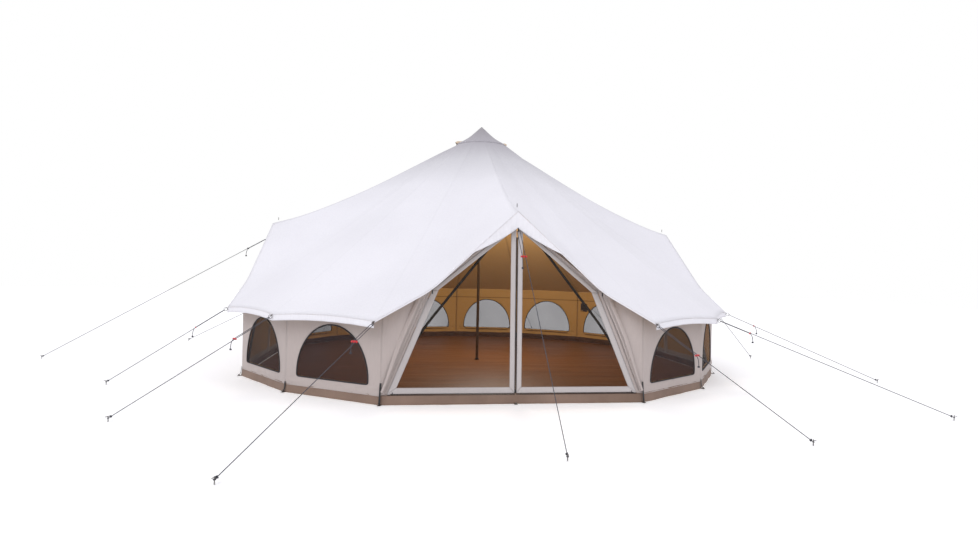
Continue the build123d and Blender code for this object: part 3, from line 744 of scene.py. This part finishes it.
def cap_place(row, column):
    angle = 2 * pi * column
    radius = TIP_RADIUS + (CAP_RADIUS - TIP_RADIUS) * row
    height = cone_height(angle, radius) + 0.004
    height += 0.0015 * row * (1 - row) * sin(13 * angle + 2 * wobble(cos(angle) * 2, sin(angle) * 2))
    to_seam = abs((column * CAP_SEAMS) % 1 - 0.5) * 0.2
    return Vector((radius * sin(angle), -radius * cos(angle), height)), (to_seam, row)


cap = Shape().grid(12, 96, cap_place, wrap=True).build("peak_cap_cloth", [ROOF, ROOF_INSIDE], 0.002)
settle(cap, "tent", "roof_canvas", "peak_cap")
grommet_centre = Vector((0, 0, PEAK_HEIGHT + 0.004))
grommet_ring = ring_points(grommet_centre, Vector((0.0135, 0, 0)), Vector((0, 0.0135, 0)), 24)
grommet = Shape().tube(grommet_ring, 0.0035, 10, closed=True).build("peak_grommet", [RING])
settle(grommet, "tent", "ring")

VENT_RADIUS = 0.395
VENT_LENGTH = 0.11
for name, angle in {"left": DOOR_CENTRES["left"], "right": DOOR_CENTRES["right"], "rear": 180.0}.items():
    a = radians(angle)
    along = Vector((sin(a), -cos(a), -CAP_SLOPE)).normalized()
    across = Vector((cos(a), sin(a), 0))
    normal = across.cross(along).normalized() * (-1 if across.cross(along).z < 0 else 1)

    def vent_foot(reach):
        radius = VENT_RADIUS + reach * cos(atan2(CAP_SLOPE, 1))
        return polar(angle, radius, cone_height(a, radius) + 0.005)

    def hood_place(row, column):
        turn = pi * (1 - column)
        rise = 0.012 + 0.036 * smooth(row * 1.4)
        out = 0.045 * cos(turn) * (0.75 + 0.25 * smooth(row * 1.6))
        return vent_foot(VENT_LENGTH * (row - 0.5)) + across * out + normal * (rise * sin(turn)), (1.0, row)

    def hood_net_place(row, column):
        turn = pi * (1 - column)
        return vent_foot(0.048) + (across * (0.043 * cos(turn)) + normal * (0.045 * sin(turn))) * row, (1, 1)

    hood = Shape().grid(10, 14, hood_place).build(f"vent_hood_{name}", [TAN, PIPING], 0.003)
    settle(hood, "tent", "vent", "vent_hoods")
    hem = [hood_place(1.0, k / 14)[0] for k in range(15)]
    stiff = Shape().tube(hem, 0.003, 8).build(f"vent_hem_{name}", [TAN])
    settle(stiff, "tent", "vent")
    vent_net = Shape().grid(3, 12, hood_net_place).build(f"vent_net_{name}", [NET])
    settle(vent_net, "tent", "mesh")

# --- Valances ---
for name, (first, last) in WINDOW_RUNS.items():
    count = round((last - first) / WINDOW_ANGLE)

    def valance_place(row, column):
        place = min(column * count, count - 1e-9)
        gore = int(place)
        t = place - gore
        start = first + gore * WINDOW_ANGLE
        edge = eave_edge(start, start + WINDOW_ANGLE, t)
        outwards = Vector((edge.x, edge.y, 0)).normalized()
        ripple = 0.010 * wobble(place * 6.0, row * 0.7, first) + 0.004 * sin(place * 41)
        corner = exp(-((min(t, 1 - t) / 0.03) ** 2))
        lift = -0.003 + row * (ripple * (1 - corner) + 0.003)
        return edge + outwards * lift - Vector((0, 0, 0.002 + row * (VALANCE - 0.002))), (
            min(t, 1 - t) * 1.58 + 0.004, row * VALANCE)

    strip = Shape().grid(5, count * 36, valance_place)
    strip = strip.build(f"eave_valance_{name}", [ROOF, ROOF_INSIDE], 0.0018)
    settle(strip, "tent", "roof_canvas", "eave_valances")
    hem_path = [valance_place(1.0, k / (count * 24))[0] for k in range(count * 24 + 1)]
    hem = Shape().tube(hem_path, 0.0022, 6).build(f"valance_hem_{name}", [ROOF])
    settle(hem, "tent", "roof_canvas")

BEAK_REACH = 0.74
HEM_DEPTH = 0.018
for name, centre in DOOR_CENTRES.items():

    def beak_place(row, column):
        place = 2 * column - 1
        side = 1 if place >= 0 else -1
        distance = abs(place) * DOOR_EDGE
        edge = door_edge(centre, side, distance)
        reach = min(distance / BEAK_REACH, 1.0)
        depth = HEM_DEPTH + (BEAK_DROP - HEM_DEPTH) * (1 - reach ** 1.35)
        outwards = side_point(centre, 0, 1, 0)
        fan = sin(distance * 42 + row * 3.2 + side * 1.3) * 0.007
        fan += wobble(distance * 9, row * 2.5, centre + side) * 0.012
        lift = -0.003 + row * (fan * (1 - reach) * smooth(distance / 0.05) + 0.004 * (1 - reach))
        return edge + outwards * lift - Vector((0, 0, 0.001 + row * depth)), (0.03 + distance, row * depth)

    beak = Shape().grid(10, 150, beak_place).build(f"beak_valance_{name}", [ROOF, ROOF_INSIDE], 0.0018)
    settle(beak, "tent", "roof_canvas", "door_beak_valances")
    hem_path = [beak_place(1.0, k / 150)[0] for k in range(151)]
    hem = Shape().tube(hem_path, 0.0022, 6).build(f"beak_hem_{name}", [ROOF])
    settle(hem, "tent", "roof_canvas")


# --- Window walls ---
CORNER_POWER = 28  # the higher, the sharper the corners between a window's arch and its sill
WINDOW_MIDDLE = WINDOW_SILL + 0.27
WALL_FOOT = RIM_HEIGHT - 0.012


def opening_reach(turn, margin=0.0):
    """How far a window's edge is from its middle, in a direction: nearly half an ellipse on its sill."""
    half, high = WINDOW_WIDTH / 2 - margin, WINDOW_ARCH - margin
    below = WINDOW_MIDDLE - WINDOW_SILL - WINDOW_STRAIGHT  # how far the arch's own centre is under the middle
    c, s = cos(turn), sin(turn)
    a = (c / half) ** 2 + (s / high) ** 2
    b = s * below / high ** 2
    arch = (sqrt(b * b - a * ((below / high) ** 2 - 1)) - b) / a
    sill = (WINDOW_MIDDLE - WINDOW_SILL - margin) / max(-s, 1e-6)
    side = half / max(abs(c), 1e-6)
    if arch * s + below < 0:
        arch = side
    return (arch ** -CORNER_POWER + sill ** -CORNER_POWER) ** (-1 / CORNER_POWER)


def wall_reach(turn):
    """How far the wall's edge is from the window's middle, in a direction."""
    c, s = abs(cos(turn)), sin(turn)
    tall = WALL_TOP - WINDOW_MIDDLE if s > 0 else WINDOW_MIDDLE - WALL_FOOT
    return min(WINDOW_HALF / max(c, 1e-6), tall / max(abs(s), 1e-6))


WALL_TOP = 1.13
CORNER_TURNS = [
    atan2(WALL_TOP - WINDOW_MIDDLE, WINDOW_HALF),
    pi - atan2(WALL_TOP - WINDOW_MIDDLE, WINDOW_HALF),
    pi + atan2(WINDOW_MIDDLE - WALL_FOOT, WINDOW_HALF),
    2 * pi - atan2(WINDOW_MIDDLE - WALL_FOOT, WINDOW_HALF),
]
SILL_TURN = atan2(WINDOW_SILL - WINDOW_MIDDLE, WINDOW_WIDTH / 2) % (2 * pi)
SILL_TURNS = [turn + k * 0.012 for turn in (SILL_TURN, 3 * pi - SILL_TURN) for k in range(-4, 5)]
OPENING_TURNS = sorted([2 * pi * k / 96 for k in range(96)] + SILL_TURNS)
TURNS = sorted(OPENING_TURNS + CORNER_TURNS)
ROLL_RADIUS = 0.018
ROLL_HEIGHT = 0.213
ROLL_TURNS = 6.4
ROLL_APOTHEM = WINDOW_APOTHEM - ROLL_RADIUS - 0.006
for number, centre in enumerate(WINDOW_CENTRES, 1):

    def wall_place(row, column):
        turn = TURNS[round(column * len(TURNS)) % len(TURNS)]
        inner, outer = opening_reach(turn), wall_reach(turn)
        out = inner + (outer - inner) * row
        x, z = out * cos(turn), WINDOW_MIDDLE + out * sin(turn)
        slack = sin(pi * row)
        lift = 0.016 * wobble(x * 3.5, z * 2.0, centre) * slack
        if z < WINDOW_SILL:
            lift += (0.012 * wobble(x * 7, z * 22, centre + 5) + 0.006) * slack
        if row == 1.0 and sin(turn) < 0 and abs(abs(x) - WINDOW_HALF) > 0.01:
            lift += 0.006 + 0.006 * wobble(x * 8, 0, centre)
        if z >= WALL_TOP - 1e-6:
            z = under_roof(side_point(centre, x, WINDOW_APOTHEM, 0.9)).z
        elif z > 1.0:
            z += smooth((z - 1.0) / 0.13) * 0.04 * row
        return side_point(centre, x, WINDOW_APOTHEM + lift, z), (abs(WINDOW_HALF - abs(x)), z)

    def piping_point(turn):
        out = opening_reach(turn, -0.002)
        return side_point(
            centre, out * cos(turn), WINDOW_APOTHEM + 0.001, WINDOW_MIDDLE + out * sin(turn)
        )

    def screen_place(row, column):
        turn = OPENING_TURNS[round(column * len(OPENING_TURNS)) % len(OPENING_TURNS)]
        out = opening_reach(turn, 0.002) * max(row, 0.01)
        x, z = out * cos(turn), out * sin(turn)
        belly = -0.008 * (1 - row * row) + 0.003 * wobble(x * 6, z * 6, centre) * (1 - row)
        return side_point(centre, x, WINDOW_APOTHEM - 0.001 + belly, WINDOW_MIDDLE + z), (1.0, row)

    def roll_place(row, column):
        turn = 2 * pi * ROLL_TURNS * (1 - row)
        radius = ROLL_RADIUS * (0.3 + 0.7 * (1 - row)) * (1 + 0.05 * wobble(column * 5, turn * 0.4, centre))
        x = (column - 0.5) * (WINDOW_WIDTH - 0.1)
        sag = -0.004 * sin(pi * 3 * column) ** 2
        return side_point(
            centre, x, ROLL_APOTHEM + radius * cos(turn), ROLL_HEIGHT + sag + radius * sin(turn)
        ), (0.5, column)

    wall = Shape().grid(9, len(TURNS), wall_place, wrap=True)
    wall = wall.build(f"window_wall_{number}", [WALL, WALL_INSIDE], 0.002)
    settle(wall, "tent", "wall_canvas", "window_walls")
    net = Shape().grid(8, len(OPENING_TURNS), screen_place, wrap=True).build(f"window_screen_{number}", [NET])
    settle(net, "tent", "mesh", "window_screens")
    piping = Shape().tube([piping_point(turn) for turn in OPENING_TURNS], 0.009, 8, closed=True)
    settle(piping.build(f"window_piping_{number}", [PIPING]), "tent", "wall_canvas")
    roll = Shape().grid(104, 14, roll_place).build(f"window_cover_{number}", [WALL_INSIDE])
    settle(roll, "tent", "wall_canvas", "window_covers")
    ties = Shape()
    for across in (-0.36, 0.0, 0.36):
        middle = side_point(centre, across, ROLL_APOTHEM, ROLL_HEIGHT - 0.002)
        band = ring_points(middle, side_point(centre, 0, 0.021, 0), WORLD_UP * 0.021, 20)
        ties.tube(band, 0.003, 6, closed=True)
    settle(ties.build(f"cover_ties_{number}", [PIPING]), "tent", "black_plastic")


# --- Groundsheet ---
RIM_COLUMNS = 22


def perimeter(column):
    """A point of the tent's foot in plan, the way out from it, and its distance to the nearest corner."""
    place = (column % 1.0) * len(PANELS)
    panel = int(place) % len(PANELS)
    kind, start, end = PANELS[panel]
    t = place - int(place)
    foot = polar(start, BASE_RADIUS, 0).lerp(polar(end, BASE_RADIUS, 0), t)
    width = 2 * (DOOR_HALF if kind == "door" else WINDOW_HALF)
    middle = radians((start + end) / 2)
    return foot, Vector((sin(middle), -cos(middle), 0)), min(t, 1 - t) * width


def rim_place(row, column):
    foot, outwards, to_corner = perimeter(column)
    low = row * row
    free = smooth(to_corner / 0.12)
    flare = low * (0.012 + 0.022 * abs(wobble(foot.x * 3, foot.y * 3, 2.0)) * free)
    ripple = 0.006 * wobble(foot.x * 9, foot.y * 9, row * 2) * sin(pi * row) * free
    height = (RIM_HEIGHT + 0.002) * (1 - row) + low * 0.004 * abs(wobble(foot.x * 5, foot.y * 5)) * free
    return foot + outwards * (0.002 + flare + ripple) + Vector((0, 0, height)), (to_corner, height)


rim = Shape().grid(6, len(PANELS) * RIM_COLUMNS, rim_place, wrap=True)
rim = rim.build("rim_band", [RIM, RIM_INSIDE], 0.002)
settle(rim, "tent", "groundsheet_rim", "groundsheet_rim")


def floor_place(row, column):
    foot = perimeter(-column)[0] * (1 - 0.0015)
    point = foot * max(row, 0.004)
    height = 0.004 + 0.0025 * abs(wobble(point.x * 1.3, point.y * 2.6, 9.0))
    return Vector((point.x, point.y, height)), (abs((point.x / 1.6) % 1 - 0.5) * 1.6, point.y)


floor = Shape().grid(26, len(PANELS) * 8, floor_place, wrap=True).build("floor_sheet", [FLOOR])
settle(floor, "tent", "groundsheet", "groundsheet_floor")


# --- Doors ---
def screen_half_width(up):
    """How far a door's slanted edge is from its middle, at a height in the door's plane."""
    if up < SCREEN_KINK[1]:
        share = (up - DOOR_BOTTOM) / (SCREEN_KINK[1] - DOOR_BOTTOM)
        return HINGE_FOOT[0] + (SCREEN_KINK[0] - HINGE_FOOT[0]) * share
    share = (up - SCREEN_KINK[1]) / (SCREEN_TOP[1] - SCREEN_KINK[1])
    return max(SCREEN_KINK[0] * (1 - share), 0.012)


def door_sheet(centre, side, lift, belly, seams=False):
    """Half a door, from its zip to its slanted edge."""

    def place(row, column):
        up = SCREEN_TOP[1] + (DOOR_BOTTOM - SCREEN_TOP[1]) * row
        share = column if side == 1 else 1 - column
        out = 0.008 + (screen_half_width(up) - 0.008) * share
        bulge = belly * sin(pi * share) * sin(pi * min(row * 1.15, 1))
        bulge += 0.5 * belly * wobble(out * 3, up * 1.3, side)
        edge = min(1.0, 6 * share, 6 * (1 - share), 8 * (1 - row))
        distance = min(out, abs(screen_half_width(up) - out)) if seams else 1.0
        return door_point(centre, side * out, up, lift + bulge * edge), (distance, up)

    return Shape().grid(64, 34, place)


def door_binding(centre, side):
    """The strips sewn round half a door: sill, slanted edge, canopy edge and zip."""
    outline = [(0.008, DOOR_BOTTOM), HINGE_FOOT, SCREEN_KINK, (0.008, SCREEN_TOP[1] - 0.006)]
    inner = inset(outline, [0.08, 0.075, 0.05, 0.066])
    shape = Shape()
    for k in range(4):
        o0, o1 = outline[k], outline[(k + 1) % 4]
        i0, i1 = inner[k], inner[(k + 1) % 4]
        steps = max(6, round(hypot(o1[0] - o0[0], o1[1] - o0[1]) / 0.03))

        def place(row, column):
            t = column if side == 1 else 1 - column
            deep = 1 - row
            x = (o0[0] + (o1[0] - o0[0]) * t) * (1 - deep) + (i0[0] + (i1[0] - i0[0]) * t) * deep
            y = (o0[1] + (o1[1] - o0[1]) * t) * (1 - deep) + (i0[1] + (i1[1] - i0[1]) * t) * deep
            pucker = 0.0015 * wobble(x * 14, y * 14, side)
            return door_point(centre, side * x, y, 0.005 + pucker), (min(deep, 1 - deep) * 0.07, t)

        shape.grid(4, steps, place)
    return shape


def leaf_blend(made):
    """Bakes the sheet's transform into its mesh."""
    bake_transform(made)


def zip_half(centre, side, name, body):
    """One half of a centre zip: tape and coil, on the moving leaf."""
    shape = Shape()

    def tape(row, column):
        out = 0.0015 + 0.011 * (column if side == 1 else 1 - column)
        return door_point(centre, side * out, 2.04 + (DOOR_BOTTOM - 2.04) * row, 0.008), (1, 1)

    shape.grid(60, 1, tape)
    coil = [door_point(centre, side * 0.0045, DOOR_BOTTOM + 1.92 * k / 120, 0.0095) for k in range(121)]
    shape.coil(coil, 0.0032, 1.15, 0.8)
    return settle(shape.build(name, [ZIP]), body, "zip_metal")


for door, centre in DOOR_CENTRES.items():
    for hand, side in (("left", -1), ("right", 1)):
        if door == "front":
            leaf = f"front_screen_{hand}"
            sheet = door_sheet(centre, side, 0.0, -0.014).build(f"front_net_{hand}", [DOOR_NET])
            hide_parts(leaf, "front_screen_sides")
        else:
            leaf = f"{door}_door_leaf_{hand}"
            sheet = door_sheet(centre, side, 0.002, 0.02, seams=True)
            sheet = sheet.build(f"{door}_door_canvas_{hand}", [WALL, WALL_INSIDE], 0.002)
            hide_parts(leaf, "side_door_panels")
            inner = door_sheet(centre, side, -0.016, -0.012).build(f"{door}_door_net_{hand}", [DOOR_NET])
            settle(inner, "tent", "mesh", "side_door_screens")
        leaf_blend(sheet)
        cloth = TRIM if door == "front" else WALL
        binding = door_binding(centre, side).build(f"{door}_binding_{hand}", [cloth], 0.008)
        leaf_blend(binding)
        zip_half(centre, side, f"{door}_zip_{hand}", leaf)

        def header_place(row, column):
            t = column if side == 1 else 1 - column
            x, y = SCREEN_KINK[0] * t + 0.004, SCREEN_TOP[1] + (SCREEN_KINK[1] - SCREEN_TOP[1]) * t
            low = door_point(centre, side * x, y - 0.01, 0.002)
            upwards = door_point(centre, side * x, y + 1) - door_point(centre, side * x, y)
            high = under_roof(low, upwards, 0.5)
            return high.lerp(low, row), (min(row, 1 - row) * 0.1, t)

        header = Shape().grid(4, 30, header_place).build(f"{door}_header_{hand}", [WALL, ROOF_INSIDE], 0.0018)
        settle(header, "tent", "wall_canvas")

        def gusset_place(row, column):
            t = column if side == 1 else 1 - column
            x0, y0 = SCREEN_KINK[0] + 0.004, SCREEN_KINK[1]
            inner_top = door_point(centre, side * x0, y0)
            inner_foot = door_point(centre, side * (HINGE_FOOT[0] + 0.004), DOOR_BOTTOM - 0.01)
            outer_top = side_point(centre, side * DOOR_HALF, DOOR_APOTHEM, WALL_TOP - 0.02)
            outer_foot = side_point(centre, side * DOOR_HALF, DOOR_APOTHEM, WALL_FOOT)
            top = inner_top.lerp(outer_top, t)
            raised = under_roof(top - Vector((0, 0, 0.2))).z - top.z
            point = top.lerp(inner_foot.lerp(outer_foot, t), max(row - 0.1, 0) / 0.9)
            point.z += raised * (1 - min(row / 0.1, 1.0))
            fold = sin(pi * t) * sin(pi * min(row + 0.08, 1)) * (1 - 0.6 * row)
            lift = fold * (0.03 + 0.03 * wobble(t * 3.2, row * 1.1, centre + 20 * side))
            spread = point + side_point(centre, 0, 1, 0) * lift
            return spread, (min(t, 1 - t) * 0.55, row)

        gusset = Shape().grid(30, 20, gusset_place).build(f"{door}_gusset_{hand}", [WALL, WALL_INSIDE], 0.002)
        settle(gusset, "tent", "wall_canvas", "door_gussets")

# The canvas half of the front door on each side: folded back in pleats along the slanted edge and up
# the canopy's edge.
PLEATS = 15
FLAP_PATH = [Vector((1.583, 0.14, 0)), Vector((1.078, 1.37, 0)), Vector((0.42, 1.895, 0))]
FIRST_RUN = (FLAP_PATH[1] - FLAP_PATH[0]).length
FLAP_RUN = FIRST_RUN + (FLAP_PATH[2] - FLAP_PATH[1]).length


def flap_line(distance):
    """A point and the outboard way on the folded flap's own line, in the door's plane."""
    first = (FLAP_PATH[1] - FLAP_PATH[0]).normalized()
    second = (FLAP_PATH[2] - FLAP_PATH[1]).normalized()
    if distance < FIRST_RUN:
        point = FLAP_PATH[0] + first * distance
    else:
        point = FLAP_PATH[1] + second * (distance - FIRST_RUN)
    way = first.lerp(second, smooth((distance - FIRST_RUN + 0.15) / 0.3)).normalized()
    return point, Vector((way.y, -way.x, 0))


for hand, side in (("left", -1), ("right", 1)):

    def flap_place(row, column):
        distance = column * FLAP_RUN
        point, outboard = flap_line(distance)
        past = smooth((distance - FIRST_RUN + 0.05) / 0.25)
        width = 0.05 + 0.055 * smooth(distance / 0.7)
        width = width * (1 - past) + past * (0.05 - 0.035 * (distance - FIRST_RUN) / (FLAP_RUN - FIRST_RUN))
        step = row * PLEATS
        layer = min(int(step), PLEATS - 1)
        across = step - layer
        across = across if layer % 2 == 0 else 1 - across
        low = 0.12 * abs(wobble(layer * 1.7, distance * 0.8, side)) + (0.34 if layer > PLEATS - 4 else 0)
        high = 1 - 0.15 * abs(wobble(layer * 2.3, distance * 0.9, 5 + side))
        if layer in (PLEATS - 5, PLEATS - 6):
            high -= 0.3
        share = low + (high - low) * across
        depth = 0.004 + 0.0020 * step * (1 - 0.4 * past) + 0.006 * sin(pi * across) * (layer / PLEATS)
        swell = 0.012 * sin(pi * share) * (layer / PLEATS) + 0.004 * wobble(share * 3, distance * 2.4, layer)
        offset = outboard * (share * width + 0.004 * wobble(distance * 2, 0, 3 + side))
        x, y = point.x + offset.x, point.y + offset.y
        place = door_point(0.0, side * x, y, 0.012 + depth + swell * (1 - 0.7 * past))
        cloth = ROOF_TREE.ray_cast(Vector((place.x, place.y, 5.0)), Vector((0, 0, -1)))[0]
        if cloth is not None and place.z > cloth.z - 0.012:
            place.z = cloth.z - 0.012 - 0.0006 * step
        return place, (0.02 + across * 0.06, distance)

    flap = Shape().grid(PLEATS * 5, 46, flap_place).build(f"front_flap_{hand}", [WALL])
    settle(flap, "tent", "wall_canvas", "front_flaps")

# The front door's sill zip, on the rim and on each leaf, and the straps at the tent's corners.
sill = Shape()
for hand, side in (("left", -1), ("right", 1)):
    coil = [door_point(0.0, side * (0.006 + 1.54 * k / 90), 0.1135, 0.008) for k in range(91)]
    sill.coil(coil, 0.0042)
    leaf_coil = [door_point(0.0, side * (0.014 + 1.50 * k / 90), 0.1245, 0.0085) for k in range(91)]
    leaf_zip = Shape().coil(leaf_coil, 0.0042)
    settle(leaf_zip.build(f"sill_zip_{hand}", [ZIP]), f"front_screen_{hand}", "zip_metal")
settle(sill.build("sill_zip_rim", [ZIP]), "tent", "zip_metal")


def ribbon(path, width, across):
    """A flat strap along a path."""

    def place(row, column):
        return path[round(row * (len(path) - 1))] + across * (width * (column - 0.5)), (0.5, row)

    return Shape().grid(len(path) - 1, 2, place)


for number, (_, start, _) in enumerate(PANELS, 1):
    across = Vector((cos(radians(start)), sin(radians(start)), 0))
    strap_top = 0.26 if abs(start) == DOOR_ANGLE / 2 else 0.135
    steps = range(int(strap_top / 0.02))
    path = [polar(start, BASE_RADIUS + 0.008 + 0.002 * k, strap_top - 0.018 * k) for k in steps]
    path.append(polar(start, BASE_RADIUS + 0.04, 0.008))
    strap = ribbon(path, 0.022, across).build(f"corner_strap_{number}", [BLACK], 0.002)
    settle(strap, "tent", "black_plastic")

for name, (kind, angle, *_) in GUYLINES.items():
    across = Vector((cos(radians(angle)), sin(radians(angle)), 0))
    if kind == "peak":
        low = side_point(angle, 0, 3.6, DOOR_PEAK[2] - PEAK_RING_DROP)
        path = [low - side_point(angle, 0, 0.006, -0.05), low, low + side_point(angle, 0, 0.03, -0.022)]
    else:
        low = polar(angle, EAVE_RADIUS + 0.004, EAVE_HEIGHT - 0.004)
        path = [low - polar(angle, 0.02, -0.006), low, low + polar(angle, 0.026, -0.022)]
    tab = ribbon(path, 0.018, across).build(f"guy_tab_{name}", [WEBBING], 0.002)
    settle(tab, "tent", "wall_canvas")

# --- Cable port flap ---
PORT_SIZE = 0.19
port_body = nodes["cable_port_flap"]["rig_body"]
low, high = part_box("cable_port_flap")
port_centre = (low + high) / 2
port_angle = WINDOW_CENTRES[2]
port_across = Vector((cos(radians(port_angle)), sin(radians(port_angle)), 0))
port_in = -side_point(port_angle, 0, 1, 0)


def port_place(row, column):
    x, z = (0.5 - column) * PORT_SIZE, (0.5 - row) * PORT_SIZE
    edge = min(row, 1 - row, column, 1 - column)
    hem = 0.003 * (smooth(edge / 0.06) - smooth((edge - 0.09) / 0.03))
    rise = hem + 0.004 * sin(pi * row) * sin(pi * column)
    return port_centre + port_across * x + Vector((0, 0, z)) + port_in * rise, (edge * 0.19, row)


port = Shape().grid(26, 26, port_place).build("cable_flap_cloth", [PIPING, BLACK], 0.0015)
settle(port, port_body, "black_plastic", "cable_port_flap")

# --- Studio ---
STAGE_SIZE = 60
STAGE_DEPTH = 0.003


def stage_place(row, column):
    return Vector((STAGE_SIZE * (column - 0.5), STAGE_SIZE * (0.5 - row), -STAGE_DEPTH)), (column, row)


stage_mesh = Shape().grid(1, 1, stage_place)
stage_material = Surface("stage_floor", 0.9)
stage_material.colour(stage_material.ramp(stage_material.noise(0.5), [(0.3, grey(0.975)), (0.7, grey(0.99))]))
stage_material.shader.inputs["Emission Color"].default_value = (1.0, 1.0, 1.0, 1.0)
stage_material.shader.inputs["Emission Strength"].default_value = 0.12
stage_mesh.build("stage_floor", [stage_material.material])

world = bpy.data.worlds.new("studio")
world.use_nodes = True
sky = world.node_tree.nodes["Background"]
sky.inputs["Color"].default_value = (0.96, 0.955, 1.0, 1.0)
sky.inputs["Strength"].default_value = 0.9
backdrop = world.node_tree.nodes.new("ShaderNodeBackground")
backdrop.inputs["Color"].default_value = (1.0, 1.0, 1.0, 1.0)
backdrop.inputs["Strength"].default_value = 1.0
either = world.node_tree.nodes.new("ShaderNodeMixShader")
ray = world.node_tree.nodes.new("ShaderNodeLightPath")
links = world.node_tree.links
links.new(ray.outputs["Is Camera Ray"], either.inputs[0])
links.new(sky.outputs[0], either.inputs[1])
links.new(backdrop.outputs[0], either.inputs[2])
links.new(either.outputs[0], world.node_tree.nodes["World Output"].inputs[0])
bpy.context.scene.world = world
bpy.context.scene.view_settings.view_transform = "Standard"
bpy.context.scene.view_settings.look = "None"


def sun(name, azimuth, elevation, strength, angle):
    data = bpy.data.lights.new(name, "SUN")
    data.energy = strength
    data.angle = radians(angle)
    made = bpy.data.objects.new(name, data)
    a, e = radians(azimuth), radians(elevation)
    way = Vector((sin(a) * cos(e), -cos(a) * cos(e), sin(e)))
    made.rotation_euler = way.to_track_quat("Z", "Y").to_euler()
    bpy.context.scene.collection.objects.link(made)


sun("key", -32, 46, 0.8, 40)


def lamp(name, place, energy, radius, colour):
    data = bpy.data.lights.new(name, "POINT")
    data.energy = energy
    data.shadow_soft_size = radius
    data.color = colour
    made = bpy.data.objects.new(name, data)
    made.location = place
    made.visible_camera = False
    bpy.context.scene.collection.objects.link(made)


lamp("glow_through_canvas", (0.3, 0.2, 2.3), 300, 0.8, (1.0, 0.92, 0.82))
